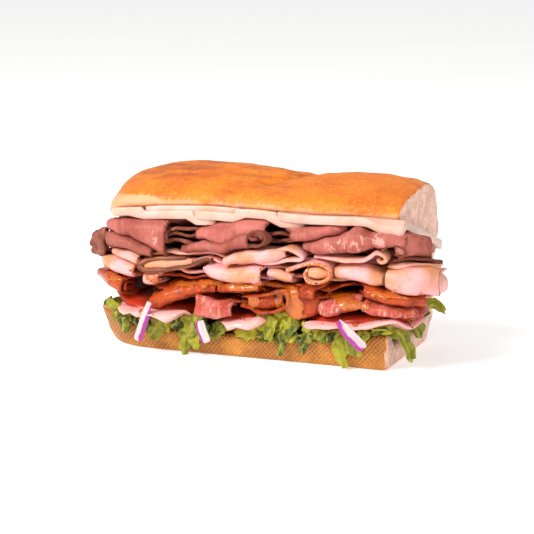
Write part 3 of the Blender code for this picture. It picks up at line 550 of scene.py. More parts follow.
def lid_ring(t):
    """One section of the lid, t from 0 at the left tip to 1 at the cut."""
    ring = []
    x_mid = LID_LEFT_X + (cut_x(LID_MIDDLE_Z) - LID_LEFT_X) * t
    width = rounded(clamp((LID_ROUND_X - x_mid) / (LID_ROUND_X - LID_LEFT_X), 0.0, 1.0), LID_ROUNDNESS)
    tall = lid_height(x_mid) / lid_height(CROWN_CUT_X)
    for y_cut, rise in LID_SECTION:
        y = ROLL_CENTRE_Y + (y_cut - ROLL_CENTRE_Y) * width
        z = along(LID_LINE, x_mid) - y * LID_TILT + rise * tall
        x = LID_LEFT_X + (cut_x(z) - LID_LEFT_X) * t
        if rise > CREASE_RISE:
            z -= crease(x, y)
        ring.append((x, y, z))
    return ring


def base_ring(t):
    """One section of the base, t from 0 at the left end to 1 at the cut."""
    ring = []
    width = rounded(clamp((BASE_ROUND - t) / BASE_ROUND, 0.0, 1.0), BASE_ROUNDNESS)
    x_mid = along(BASE_LEFT, BASE_MIDDLE_Z) * (1 - t) + cut_x(BASE_MIDDLE_Z) * t
    lip = along(LIP_LINE, x_mid)
    for y_cut, z_cut, follows in BASE_SECTION:
        z = lip + z_cut if follows else z_cut
        if HOLLOW_LOW_Z < z < lip and abs(y_cut) < HOLLOW_HALF_Y:
            z += (lip - 1.0 - z) * smooth((HOLLOW_LEFT_X - x_mid) / HOLLOW_END)
        y = ROLL_CENTRE_Y + (y_cut - ROLL_CENTRE_Y) * width
        x = along(BASE_LEFT, z) * (1 - t) + cut_x(z) * t
        ring.append((x, y, z))
    return ring


def hinge_ring(t):
    """One section of the hinge wall, thinner towards its left end."""
    ring = []
    thin = smooth(1 - t / HINGE_TAPER)
    for i, (y, z) in enumerate(HINGE_SECTION):
        left = HINGE_LEFT_X - HINGE_FLARE * ((z - HINGE_WAIST_Z) / HINGE_HALF_Z) ** 2
        if i >= HINGE_OUTER:
            y -= (y - HINGE_THIN_Y) * thin
        ring.append((left + (cut_x(z) - left) * t, y, z))
    return ring


def on_disc(u, v):
    """A place in the unit circle for a place in the unit square."""
    a = 2 * u - 1
    b = 2 * v - 1
    return a * math.sqrt(1 - b * b / 2), b * math.sqrt(1 - a * a / 2)


def heap_top(x, y):
    """Uneven top of the heap of lettuce, just under the bed of the fillings."""
    return bed_z(x, y) - GAP - HEAP_DIP * (1 + math.sin(x * 0.55 + 2 * math.sin(y * 0.3)))


def heap_place(u, v, side):
    """The core of the heap of lettuce: fills the base's hollow up to the bed."""
    a, b = on_disc(u, v)
    square = smooth((u - 0.5) / 0.25)
    a += (2 * u - 1 - a) * square
    b += (2 * v - 1 - b) * square
    x = HEAP_X + HEAP_HALF_X * a
    y = HEAP_Y + (HEAP_BACK if b > 0 else HEAP_FRONT) * math.copysign(abs(b) ** 0.9, b)
    top = heap_top(x, y)
    wall = max(abs(y + 1.0) - HEAP_WALL_Y, 0.0) * HEAP_WALL_SLOPE
    if y < 0:
        wall = max(wall, (along(LIP_LINE, x) - 10.6) * smooth((-y - HEAP_WALL_Y) / 9.0))
    hollow = HEAP_LOW_Z + max(wall, HEAP_LEFT_SLOPE * (HEAP_LEFT_X - x))
    return x, y, top if side > 0 else min(hollow, top - HEAP_THINNEST)


noise.seed_set(NOISE_SEED)  # vector noise would otherwise start from the clock


def noise_at(x, y, z, size, seed=0.0):
    """Smooth noise from -1 to 1 whose swells are about size millimetres."""
    return noise.noise(Vector((x / size + seed, y / size - seed, z / size + 0.37 * seed)))


def wobble(x, y, h):
    """Shared unevenness of the fillings, so that neighbours keep clear of each other. It
    fades at the top and the bottom of the stack and in front of it."""
    inside = smooth((64.0 - h) / 8.0) * smooth((h - 20.0) / 6.0)
    open_side = smooth((y + 48.0) / 6.0)
    rise = 1.5 * noise_at(x, y, h * 0.4, 17.0, 3.1) + 0.6 * noise_at(x, y, h * 0.6, 7.0, 8.4)
    push = 1.6 * noise_at(x, 0.0, h, 11.0, 5.7) + 0.5 * noise_at(x, 0.0, h, 4.5, 1.2)
    slide = 0.8 * noise_at(x, y, h, 12.0, 9.9)
    return x + slide * inside * open_side, y + push * inside * open_side, h + rise * inside


# Mesh helpers

def only(obj):
    """Leaves only this object selected and active."""
    bpy.ops.object.select_all(action="DESELECT")
    obj.select_set(True)
    bpy.context.view_layer.objects.active = obj


def read_vectors(obj, field):
    values = np.empty(len(obj.data.vertices) * 3)
    obj.data.vertices.foreach_get(field, values)
    return values.reshape(-1, 3)


def get_points(obj):
    return read_vectors(obj, "co") / MM


def set_points(obj, points):
    obj.data.vertices.foreach_set("co", (np.asarray(points, float) * MM).ravel())
    obj.data.update()


def grid(name, us, vs):
    """A primitive grid of us by vs cells, and the row and column of each vertex."""
    bpy.ops.object.select_all(action="DESELECT")
    bpy.ops.mesh.primitive_grid_add(x_subdivisions=us, y_subdivisions=vs, size=1.0)
    obj = bpy.context.object
    obj.name = name
    obj.data.name = name
    co = read_vectors(obj, "co")
    i = np.rint((co[:, 0] + 0.5) * us).astype(int)
    j = np.rint((co[:, 1] + 0.5) * vs).astype(int)
    return obj, i, j


def add_values(obj, name, values):
    """A number on each vertex, or a vector, that the material reads by name."""
    values = np.asarray(values, np.float32)
    kind = "FLOAT" if values.ndim == 1 else "FLOAT_VECTOR"
    layer = obj.data.attributes.new(name, kind, "POINT")
    layer.data.foreach_set("value" if values.ndim == 1 else "vector", values.ravel())


def across_share(obj):
    """How far across its sheet each vertex lies, from 0 to 1."""
    lie = np.empty(len(obj.data.vertices) * 3, np.float32)
    obj.data.attributes["lie"].data.foreach_get("vector", lie)
    across = lie.reshape(-1, 3)[:, 1]
    return across / max(across.max(), 1e-6)


def modify(obj, name, kind, **fields):
    """Adds a modifier and applies it."""
    mod = obj.modifiers.new(name, kind)
    for key, value in fields.items():
        setattr(mod, key, value)
    only(obj)
    bpy.ops.object.modifier_apply(modifier=name)


def face_out(obj):
    """Turns all faces of a closed mesh outwards."""
    only(obj)
    bpy.ops.object.mode_set(mode="EDIT")
    bpy.ops.mesh.select_all(action="SELECT")
    bpy.ops.mesh.normals_make_consistent(inside=False)
    bpy.ops.object.mode_set(mode="OBJECT")


def join(name, objects):
    """Several objects made one mesh."""
    bpy.ops.object.select_all(action="DESELECT")
    for obj in objects:
        obj.select_set(True)
    bpy.context.view_layer.objects.active = objects[0]
    if len(objects) > 1:
        bpy.ops.object.join()
    objects[0].name = name
    objects[0].data.name = name
    return objects[0]


def finish_piece(obj, mat, slot, *nodes):
    obj.data.materials.clear()
    obj.data.materials.append(mat)
    obj.data.polygons.foreach_set("use_smooth", [True] * len(obj.data.polygons))
    obj.data.update()
    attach(obj, "root")
    if nodes:
        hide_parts(*nodes)
    return obj


def spaced(count, rim):
    """Shares of a length: even, with two close rows at either end."""
    rim = min(rim, 0.5 / count)
    return np.concatenate(([0, rim], np.linspace(3 * rim, 1 - 3 * rim, count - 3), [1 - rim, 1]))


def soft_ends(count):
    """Thickness from one edge of a sheet to the other, as a share, less at the edges."""
    soft = np.ones(count + 1)
    soft[[0, -1]] = 0.35
    soft[[1, -2]] = 0.85
    return soft


def thick_sheet(name, us, vs, point_at, thickness, share_at=None):
    """A sheet with soft rims. Its values are rim, the distance in millimetres to the
    nearest edge, and lie, the place on the sheet laid flat."""
    obj, i, j = grid(name, us, vs)
    rough = np.array([[point_at(u, v) for v in (0.0, 0.5, 1.0)] for u in np.linspace(0, 1, 9)])
    long_u = max(np.linalg.norm(np.diff(rough[:, 1], axis=0), axis=1).sum(), 1.0)
    long_v = max(np.linalg.norm(np.diff(rough[4], axis=0), axis=1).sum(), 1.0)
    us_at = spaced(us, RIM_ROW * thickness / long_u)
    vs_at = spaced(vs, RIM_ROW * thickness / long_v)
    lattice = np.array([[point_at(u, v) for v in vs_at] for u in us_at])
    step_u = np.linalg.norm(np.diff(lattice, axis=0), axis=2)
    step_v = np.linalg.norm(np.diff(lattice, axis=1), axis=2)
    arc_u = np.concatenate((np.zeros((1, vs + 1)), np.cumsum(step_u, axis=0)))
    arc_v = np.concatenate((np.zeros((us + 1, 1)), np.cumsum(step_v, axis=1)), axis=1)
    rim = np.minimum(np.minimum(arc_u, arc_u[-1:] - arc_u), np.minimum(arc_v, arc_v[:, -1:] - arc_v))
    set_points(obj, lattice[i, j])
    add_values(obj, "rim", rim[i, j])
    add_values(obj, "lie", np.stack([arc_u[i, j], arc_v[i, j], np.zeros(len(i))], axis=1))
    weight = np.minimum(soft_ends(us)[i], soft_ends(vs)[j])
    if share_at:
        weight = weight * np.array([share_at(*p) for p in lattice[i, j]])
    group = obj.vertex_groups.new(name="thickness")
    for index, value in enumerate(weight):
        group.add([index], float(value), "REPLACE")
    modify(obj, "thickness", "SOLIDIFY", thickness=thickness * MM, offset=0.0, vertex_group="thickness")
    return obj


# Materials

class Shader:
    """A Principled material and short calls for its nodes."""

    def __init__(self, name, **values):
        self.mat = bpy.data.materials.new(name)
        self.mat.use_nodes = True
        self.tree = self.mat.node_tree
        self.main = self.tree.nodes["Principled BSDF"]
        for key, value in values.items():
            self.main.inputs[key.replace("_", " ")].default_value = value
        self.place = self.node("ShaderNodeTexCoord").outputs["Object"]

    def node(self, kind, **fields):
        made = self.tree.nodes.new(kind)
        for key, value in fields.items():
            setattr(made, key, value)
        return made

    def put(self, socket, value):
        if isinstance(value, bpy.types.NodeSocket):
            self.tree.links.new(value, socket)
        elif value is not None:
            socket.default_value = value

    def value(self, name):
        return self.node("ShaderNodeAttribute", attribute_name=name).outputs["Fac"]

    def vector(self, name):
        return self.node("ShaderNodeAttribute", attribute_name=name).outputs["Vector"]

    def stretch(self, vector, x=1.0, y=1.0, z=1.0):
        made = self.node("ShaderNodeMapping")
        self.put(made.inputs["Vector"], vector)
        made.inputs["Scale"].default_value = (x, y, z)
        return made.outputs["Vector"]

    def millimetres(self, x=1.0, y=1.0, z=1.0):
        """The place in millimetres, stretched along its axes."""
        return self.stretch(self.place, x / MM, y / MM, z / MM)

    def texture(self, kind, per_mm, vector, **fields):
        """A texture on the place, or on a vector in millimetres."""
        made = self.node(kind, **fields)
        self.put(made.inputs["Vector"], vector or self.place)
        made.inputs["Scale"].default_value = per_mm if vector else per_mm / MM
        return made

    def noise(self, per_mm, detail=3.0, rough=0.55, vector=None, twist=0.0):
        """Noise with about per_mm swells for each millimetre."""
        made = self.texture("ShaderNodeTexNoise", per_mm, vector)
        made.inputs["Detail"].default_value = detail
        made.inputs["Roughness"].default_value = rough
        made.inputs["Distortion"].default_value = twist
        return made.outputs["Fac"]

    def cells(self, per_mm, feature="F1", vector=None):
        """Distance in a pattern with about per_mm cells for each millimetre."""
        return self.texture("ShaderNodeTexVoronoi", per_mm, vector, feature=feature).outputs["Distance"]

    def warp(self, vector, per_unit, amount):
        """The vector, pushed about by noise."""
        made = self.node("ShaderNodeTexNoise")
        self.put(made.inputs["Vector"], vector)
        made.inputs["Scale"].default_value = per_unit
        centred = self.node("ShaderNodeVectorMath", operation="SUBTRACT")
        self.put(centred.inputs[0], made.outputs["Color"])
        centred.inputs[1].default_value = (0.5, 0.5, 0.5)
        scaled = self.node("ShaderNodeVectorMath", operation="SCALE")
        self.put(scaled.inputs[0], centred.outputs[0])
        scaled.inputs["Scale"].default_value = amount
        total = self.node("ShaderNodeVectorMath", operation="ADD")
        self.put(total.inputs[0], vector)
        self.put(total.inputs[1], scaled.outputs[0])
        return total.outputs[0]

    def span(self, value, low, high, to_low=0.0, to_high=1.0):
        made = self.node("ShaderNodeMapRange", interpolation_type="SMOOTHSTEP")
        self.put(made.inputs["Value"], value)
        for key, number in (("From Min", low), ("From Max", high), ("To Min", to_low), ("To Max", to_high)):
            made.inputs[key].default_value = number
        return made.outputs["Result"]

    def calc(self, kind, a, b=None):
        made = self.node("ShaderNodeMath", operation=kind)
        self.put(made.inputs[0], a)
        self.put(made.inputs[1], b)
        return made.outputs[0]

    def mix(self, share, a, b, kind="MIX"):
        made = self.node("ShaderNodeMix", data_type="RGBA", blend_type=kind)
        self.put(made.inputs[0], share)
        self.put(made.inputs[6], a if isinstance(a, bpy.types.NodeSocket) else (*a, 1.0))
        self.put(made.inputs[7], b if isinstance(b, bpy.types.NodeSocket) else (*b, 1.0))
        return made.outputs[2]

    def color(self, value):
        self.put(self.main.inputs["Base Color"], value)

    def rough(self, value):
        self.put(self.main.inputs["Roughness"], value)

    def bump(self, *layers):
        """Layers of (height, millimetres deep), laid on one another."""
        normal = None
        for height, depth in layers:
            made = self.node("ShaderNodeBump")
            made.inputs["Strength"].default_value = 1.0
            made.inputs["Distance"].default_value = depth * MM
            self.put(made.inputs["Height"], height)
            if normal:
                self.put(made.inputs["Normal"], normal)
            normal = made.outputs["Normal"]
        self.put(self.main.inputs["Normal"], normal)


def flesh(name, roughness, glow, coat=0.0, depth=1.2, shine=0.25):
    """A moist see-in material: glow is how much light enters it, depth how many
    millimetres it spreads."""
    return Shader(
        name, Roughness=roughness, Coat_Weight=coat, Coat_Roughness=0.12, Subsurface_Weight=glow,
        Subsurface_Radius=(1.0, 0.42, 0.28), Subsurface_Scale=depth * MM, Specular_IOR_Level=shine,
    )


def bread_material(look):
    s = Shader("bread", Roughness=0.5, Specular_IOR_Level=0.3)
    crumb, depth = s.value("crumb"), s.value("depth")
    patch = s.noise(0.05, 4, 0.6)
    fine = s.noise(0.55, 5, 0.65)
    grain = s.noise(2.2, 3, 0.6)
    crust = s.mix(s.span(patch, 0.35, 0.7), look.crust_color, look.crust_dark)
    crust = s.mix(s.span(fine, 0.42, 0.72, 0.0, 0.45), crust, look.crust_pale)
    streaks = s.span(s.noise(0.16, 5, 0.7, s.millimetres(x=0.35)), 0.4, 0.62)
    streaks = s.calc("MULTIPLY", s.value("brown"), streaks)
    crust = s.mix(streaks, crust, look.crust_brown)
    band = s.calc("ADD", s.value("pale"), s.span(fine, 0.3, 0.7, -0.22, 0.22))
    pits = s.span(s.cells(0.42), 0.12, 0.42)
    skin_tone = s.mix(pits, look.crust_pale, look.band_color)
    crust = s.mix(s.span(band, 0.15, 0.95), crust, skin_tone)
    split = s.node("ShaderNodeSeparateXYZ")
    s.put(split.inputs[0], s.warp(s.place, 120.0, 0.0012))
    rows = s.calc("SINE", s.calc("MULTIPLY", split.outputs["X"], 2 * math.pi / (DIMPLE_X * MM)))
    lines = s.calc("SINE", s.calc("MULTIPLY", split.outputs["Z"], 2 * math.pi / (DIMPLE_Z * MM)))
    dimple = s.span(s.calc("MULTIPLY", rows, lines), -0.6, 0.9)
    lower = s.value("lower")
    tray = s.mix(s.calc("MULTIPLY", dimple, 0.75), look.tray_color, look.tray_dark)
    tray = s.mix(s.span(patch, 0.4, 0.7, 0.0, 0.5), tray, look.crust_pale)
    crust = s.mix(lower, crust, tray)
    pores = s.cells(0.75)
    tiny = s.cells(1.9)
    hole = s.span(s.calc("ADD", pores, s.calc("MULTIPLY", s.noise(0.9, 3), 0.5)), 0.25, 0.62)
    inner = s.mix(s.span(s.noise(0.18, 3), 0.35, 0.7), look.crumb_color, look.crumb_shade)
    inner = s.mix(s.span(tiny, 0.05, 0.3, 0.75, 0.0), inner, look.crumb_shade)
    # painted shade in the crumb's holes
    inner = s.mix(hole, look.crumb_hole_shade, inner)
    ragged = s.calc("ADD", depth, s.span(grain, 0.2, 0.8, -0.35, 0.35))
    inner = s.mix(s.span(ragged, 0.5, 1.5), look.crust_color, inner)
    is_crumb = s.span(crumb, 0.42, 0.58)
    s.color(s.mix(is_crumb, crust, inner))
    s.rough(s.span(is_crumb, 0.0, 1.0, 0.42, 0.85))
    flat = s.calc("SUBTRACT", 1.0, is_crumb)
    wrinkle = s.calc("MULTIPLY", s.noise(0.9, 4, 0.65), flat)
    s.bump((s.calc("MULTIPLY", fine, flat), 0.5), (wrinkle, 0.22),
           (s.calc("MULTIPLY", dimple, s.calc("MULTIPLY", lower, flat)), -0.35),
           (s.calc("MULTIPLY", hole, is_crumb), 0.5), (s.calc("MULTIPLY", grain, is_crumb), 0.4))
    return s.mat


def cheese_material(look):
    s = flesh("cheese", 0.34, 0.35, 0.15, 2.5)
    patch = s.noise(0.09, 3)
    s.color(s.mix(s.span(patch, 0.3, 0.75), look.cheese_color, look.cheese_shade))
    s.bump((s.noise(0.35, 2), 0.12))
    return s.mat


def beef_material(look):
    s = flesh("roast_beef", 0.5, 0.1, 0.04, shine=0.14)
    lie, rim = s.vector("lie"), s.value("rim")
    patch = s.noise(0.055, 4, 0.6, twist=0.4)
    fiber = s.noise(0.35, 4, 0.7, s.stretch(lie, 0.35, 1.3))
    meat = s.mix(s.span(patch, 0.36, 0.66), look.beef_color, look.beef_brown)
    meat = s.mix(s.span(fiber, 0.4, 0.75, 0.0, 0.35), meat, look.beef_pink)
    ridge = s.calc("SUBTRACT", s.noise(0.07, 5, 0.6, s.warp(lie, 0.06, 14.0)), 0.5)
    fat_line = s.span(s.calc("ABSOLUTE", ridge), 0.0, 0.028, 0.75, 0.0)
    marbled = s.calc("MULTIPLY", fat_line, s.span(s.noise(0.045, 2), 0.46, 0.6))
    meat = s.mix(marbled, meat, look.beef_fat)
    worn = s.calc("ADD", rim, s.span(s.noise(0.5, 3), 0.2, 0.8, -0.8, 0.8))
    meat = s.mix(s.span(worn, 0.6, 2.8, 0.5, 0.0), meat, look.beef_brown)
    meat = s.mix(s.span(worn, 0.0, 0.9, 0.95, 0.0), meat, look.beef_rim_and_shade)
    # painted shade: the dark value paints inner faces, and some outer ones, in the rim colour; partly
    # roasted brown
    dark = s.calc("MULTIPLY", s.value("dark"), s.span(s.noise(0.12, 4, 0.6), 0.25, 0.6, 0.45, 1.0))
    meat = s.mix(dark, meat, look.beef_rim_and_shade)
    s.color(meat)
    s.bump((s.noise(0.22, 3), 0.8), (fiber, 0.25))
    return s.mat


def turkey_material(look):
    s = flesh("turkey", 0.42, 0.25, 0.08, 1.6)
    lie, rim = s.vector("lie"), s.value("rim")
    patch = s.noise(0.07, 3, 0.6)
    meat = s.mix(s.span(patch, 0.35, 0.68), look.turkey_color, look.turkey_tan_and_shade)
    fiber = s.noise(0.3, 4, 0.7, s.stretch(lie, 0.5, 1.2))
    meat = s.mix(s.span(fiber, 0.5, 0.8, 0.0, 0.4), meat, look.turkey_pale)
    # painted shade: the dark value turns inner faces to the tan of turkey in shade
    shaded_tan = s.calc("MULTIPLY", s.value("dark"), 0.8)
    meat = s.mix(shaded_tan, meat, look.turkey_tan_and_shade)
    dots = s.span(s.noise(0.75, 2, 0.5), 0.44, 0.56)
    dots = s.calc("MULTIPLY", s.span(rim, 0.35, 1.1, 1.0, 0.0), dots)
    meat = s.mix(s.calc("MULTIPLY", dots, s.value("dots")), meat, look.turkey_rim)
    line = s.calc("MULTIPLY", s.span(rim, 0.3, 0.9, 1.0, 0.0), s.value("line"))
    meat = s.mix(line, meat, look.beef_rim_and_shade)
    s.color(meat)
    s.bump((s.noise(0.16, 3), 0.4), (s.noise(0.9, 3), 0.08))
    return s.mat


def spiced_material(look, name, pink):
    s = flesh(name, 0.34, 0.08, 0.22, 0.8)
    lie, rim = s.vector("lie"), s.value("rim")
    patch = s.noise(0.12, 4, 0.6, twist=0.3)
    speck = s.cells(0.75)
    if pink:
        meat = s.mix(s.span(patch, 0.35, 0.66), look.salami_color, look.salami_dark)
        streak = s.noise(0.5, 4, 0.65, s.stretch(lie, 0.3, 1.2), 0.8)
        meat = s.mix(s.span(streak, 0.52, 0.68, 0.0, 0.85), meat, look.salami_fat)
        meat = s.mix(s.calc("MULTIPLY", s.value("dark"), s.span(patch, 0.3, 0.6)), meat, look.spiced_color)
    else:
        meat = s.mix(s.span(patch, 0.35, 0.66), look.spiced_color, look.spiced_dark)
        meat = s.mix(s.span(s.noise(0.3, 4, 0.7), 0.5, 0.72, 0.0, 0.8), meat, look.spiced_oil)
        meat = s.mix(s.span(speck, 0.05, 0.16, 0.5, 0.0), meat, look.spiced_fat)
    meat = s.mix(s.span(rim, 0.2, 0.9, 0.6, 0.0), meat, look.spiced_dark)
    s.color(meat)
    s.bump((s.noise(0.3, 4), 0.8), (s.noise(1.1, 4, 0.65), 0.75), (speck, 0.35))
    return s.mat


def tomato_material(look):
    s = flesh("tomato", 0.22, 0.08, 0.15, 1.0)
    meat = s.mix(s.span(s.noise(0.12, 3), 0.35, 0.7), look.tomato_color, look.tomato_dark)
    meat = s.mix(s.span(s.value("rim"), 0.6, 2.6, 0.8, 0.0), meat, look.tomato_skin)
    s.color(meat)
    s.bump((s.noise(0.25, 3, vector=s.vector("lie")), 0.25))
    return s.mat


def cream_material(look):
    s = flesh("mayonnaise", 0.25, 0.25, 0.35, 2.0)
    s.color(s.mix(s.span(s.noise(0.1, 3), 0.4, 0.8), look.cream_color, look.cream_warm))
    s.bump((s.noise(0.25, 3), 0.3))
    return s.mat


def onion_material(look):
    s = flesh("onion", 0.22, 0.35, 0.5, 2.5)
    fiber = s.noise(0.5, 3, vector=s.stretch(s.vector("lie"), 0.2, 2.0))
    body = s.mix(s.span(fiber, 0.35, 0.7), look.onion_color, look.onion_tint)
    rough_edge = s.calc("ADD", s.value("side"), s.span(s.noise(0.4, 3), 0.2, 0.8, -0.05, 0.05))
    s.color(s.mix(s.span(rough_edge, 0.52, 0.66), body, look.onion_skin))
    s.bump((s.noise(0.5, 3, vector=s.stretch(s.vector("lie"), 0.15, 2.0)), 0.2))
    return s.mat


def lettuce_material(look):
    s = flesh("lettuce", 0.42, 0.06, 0.05, 0.8)
    tone, rib = s.value("tone"), s.value("rib")
    patch = s.noise(0.22, 4, 0.6)
    deeper = s.calc("ADD", tone, s.span(patch, 0.3, 0.7, -0.25, 0.25))
    # tone mixes towards near-black: partly deeper green, partly painted shade between the shreds
    green = s.mix(deeper, look.leaf_light, look.leaf_dark_and_shade)
    veins = s.cells(0.32, "DISTANCE_TO_EDGE", s.warp(s.millimetres(), 0.3, 3.0))
    net = s.span(veins, 0.0, 0.07, 0.32, 0.0)
    green = s.mix(net, green, look.leaf_vein)
    green = s.mix(s.span(rib, 0.0, 0.12, 0.85, 0.0), green, look.leaf_vein)
    s.color(green)
    s.bump((s.noise(0.35, 4), 0.7), (veins, 0.35))
    return s.mat


def sauce_material(look):
    s = Shader("sauce", Roughness=0.1, Coat_Weight=1.0, Coat_Roughness=0.03, Alpha=0.5)
    s.color(s.mix(s.span(s.noise(0.18, 3), 0.35, 0.7), look.sauce_color, look.sauce_light))
    s.bump((s.noise(0.4, 3), 0.9), (s.noise(1.3, 2), 0.35))
    return s.mat


def pepper_material(look):
    s = Shader("pepper", Roughness=0.5)
    s.color(s.mix(s.span(s.noise(0.8, 2), 0.4, 0.6), look.pepper_color, look.pepper_warm))
    s.bump((s.noise(1.5, 2), 0.2))
    return s.mat


# Tables of the looks

# Outlines of the mayonnaise as it shows at the open side: top and bottom, over x
CREAM_EDGES = {
    "mayonnaise_1": (
        ((-57, 20.6), (-53.9, 21.5), (-47.5, 20.8), (-41, 21.3), (-33.3, 21), (-25.7, 21.4), (-18.1, 22.3)),
        ((-57, 19.6), (-54, 18.1), (-49.5, 17), (-45.5, 19), (-41.7, 16.9), (-34.6, 18.2), (-28.3, 14.8),
         (-24.5, 17), (-21.9, 19.6), (-16.8, 20.6)),
    ),
    "mayonnaise_2": (
        ((-3.6, 18.6), (-0.6, 19), (5.7, 19.7), (13.1, 20.7), (18, 22.3), (21.5, 21)),
        ((-3.6, 18), (0.1, 17.4), (3.2, 14.3), (6.9, 15.8), (13.1, 15.2), (17.4, 17), (21.5, 19.5)),
    ),
    "mayonnaise_3": (
        ((34, 20.6), (39.9, 22.2), (47.1, 21.9), (55.5, 22.6), (66.1, 22.9), (73.2, 24.7), (80.2, 26.4),
         (87.2, 25.9), (90.7, 25.6)),
        ((34, 19.6), (40.5, 16.9), (45.9, 18.6), (51.9, 18.8), (56.7, 20.2), (61, 18.6), (66.2, 20.2),
         (70.9, 20.6), (76.7, 22.6), (82.5, 23.6), (86.7, 20.7), (90.7, 23.3)),
    ),
}
# Share of the width of an onion strip where its purple skin begins, and whether it is on the left
ONION_SKINS = {"onion_1": (0.5, False), "onion_2": (0.66, True), "onion_3": (0.52, True)}
# Shreds of lettuce: x and z of the centre line, width, and depth in front of the base's edge
SHREDS = (
    (((-61, 22.9), (-57.5, 21.0), (-54, 19.3)), 4.0, -1.0),
    (((-58, 21.5), (-55.5, 18.0), (-54.6, 15.5)), 3.6, 1.0),
    (((-50.5, 16.5), (-52.1, 14.0), (-50.4, 8.3)), 4.2, 0.0),
    (((-46.5, 17.5), (-46.6, 14.6), (-44.8, 12.0)), 3.6, 0.8),
    (((-43.6, 16.6), (-41.0, 13.0), (-38.6, 9.6)), 4.6, 0.4),
    (((-33.0, 16.4), (-35.0, 12.0), (-37.0, 6.4)), 5.6, 0.0),
    (((-27.0, 16.8), (-30.5, 13.4), (-33.9, 11.0)), 4.4, 0.9),
    (((-24.0, 18.6), (-24.8, 15.0), (-25.8, 12.1)), 5.2, 0.0),
    (((-23.0, 17.8), (-21.0, 8.0), (-20.8, -0.4)), 4.2, 1.2),
    (((-18.0, 19.4), (-16.6, 11.0), (-14.8, 3.2)), 6.4, 0.6),
    (((-14.0, 20.2), (-16.0, 14.0), (-19.0, 7.4)), 4.6, 0.2),
    (((-13.0, 18.0), (-11.0, 13.0), (-9.4, 8.7)), 4.4, 0.4),
    (((-5.0, 17.8), (-3.4, 14.6), (-1.8, 11.4)), 5.2, 0.4),
    (((0.6, 16.6), (-1.6, 14.4), (-4.4, 11.2)), 3.4, 0.9),
    (((5.6, 15.8), (8.0, 13.6), (10.2, 11.4)), 4.4, 0.6),
    (((15.0, 16.4), (12.0, 13.6), (9.6, 10.2)), 4.8, 0.2),
    (((19.4, 23.6), (18.0, 19.4), (15.8, 15.6)), 5.4, 0.6),
    (((22.0, 23.0), (22.6, 17.6), (21.0, 11.0)), 5.6, 0.2),
    (((27.0, 25.0), (26.0, 20.4), (23.0, 15.8)), 6.0, 1.0),
    (((31.0, 25.4), (29.6, 21.0), (30.4, 16.6)), 5.2, 0.4),
    (((34.4, 21.8), (31.6, 17.4), (27.6, 13.2)), 5.0, 1.2),
    (((24.6, 17.6), (27.0, 9.6), (26.6, 3.7)), 3.4, 0.2),
    (((30.4, 17.0), (32.0, 13.6), (31.2, 10.6)), 4.8, 0.2),
    (((37.0, 19.6), (38.6, 17.6), (41.0, 16.4)), 4.2, 0.8),
    (((46.4, 17.4), (43.6, 15.0), (40.6, 12.6)), 4.6, 0.4),
    (((41.6, 17.4), (39.8, 11.6), (37.5, 6.2)), 3.4, 0.0),
    (((48.4, 17.6), (48.0, 15.0), (46.2, 12.2)), 4.8, 0.8),
    (((55.4, 18.6), (55.6, 9.6), (58.0, 0.8)), 5.4, 0.8),
    (((51.2, 18.0), (50.0, 15.4), (50.4, 12.6)), 4.2, 0.2),
    (((60.0, 19.0), (59.4, 12.0), (62.4, 7.4)), 4.4, 0.4),
    (((66.6, 19.2), (64.8, 13.0), (63.9, 7.1)), 4.6, 0.4),
    (((70.0, 20.8), (73.6, 19.4), (77.8, 20.4)), 4.6, 0.6),
    (((79.1, 22.4), (74.6, 21.6), (70.6, 18.4)), 4.2, 1.4),
)
LEFT_SHRED = ((-54.0, -21.0, 16.3), (-61.0, -26.0, 18.8), (-66.5, -30.0, 19.6))
# Shreds at the cut end: three points of the centre line, and width
END_SHREDS = (
    ((74.0, -33.5, 19.6), (82.4, -33.0, 18.4), (88.0, -31.0, 5.6), 5.6),
    ((74.0, -28.0, 19.0), (81.6, -27.0, 17.0), (86.0, -27.0, 8.8), 4.6),
    ((74.0, -22.0, 19.4), (83.0, -21.0, 19.8), (89.0, -20.0, 14.6), 5.0),
    ((74.0, -14.0, 19.6), (83.0, -12.0, 19.4), (87.0, -10.0, 14.6), 4.6),
    ((74.0, -6.0, 20.0), (82.0, -4.0, 21.0), (86.6, -2.0, 22.6), 3.4),
    ((76.0, 4.0, 21.0), (83.0, 6.0, 22.0), (87.6, 8.0, 24.0), 3.2),
    ((76.0, 12.0, 22.0), (84.0, 14.0, 22.4), (89.0, 15.0, 18.4), 4.0),
)
# Patches of sauce as they show: x, z, half width, half height, strength
SAUCE_SPOTS = (
    (-60, 34.6, 13, 2.6, 0.9), (-30, 36.0, 9, 2.6, 0.8), (-8, 35.4, 10, 2.4, 1.0), (8, 35.6, 16, 2.6, 1.2),
    (24, 36.0, 11, 3.6, 1.3), (32, 31.0, 7, 8.5, 1.5), (36, 22.8, 6.5, 4.6, 1.5), (58, 34.0, 6, 4.0, 1.0),
    (64, 31.0, 9, 3.4, 1.1), (55, 36.6, 6, 2.6, 0.9), (80, 36.6, 12, 1.8, 0.9), (14, 29.0, 6, 3.0, 0.7),
    (74, 27.0, 8, 2.2, 0.7), (90, 27.0, 5, 3.0, 0.7), (64, 22.6, 3, 1.6, 0.9), (-20, 34.0, 12, 2.0, 0.6),
)
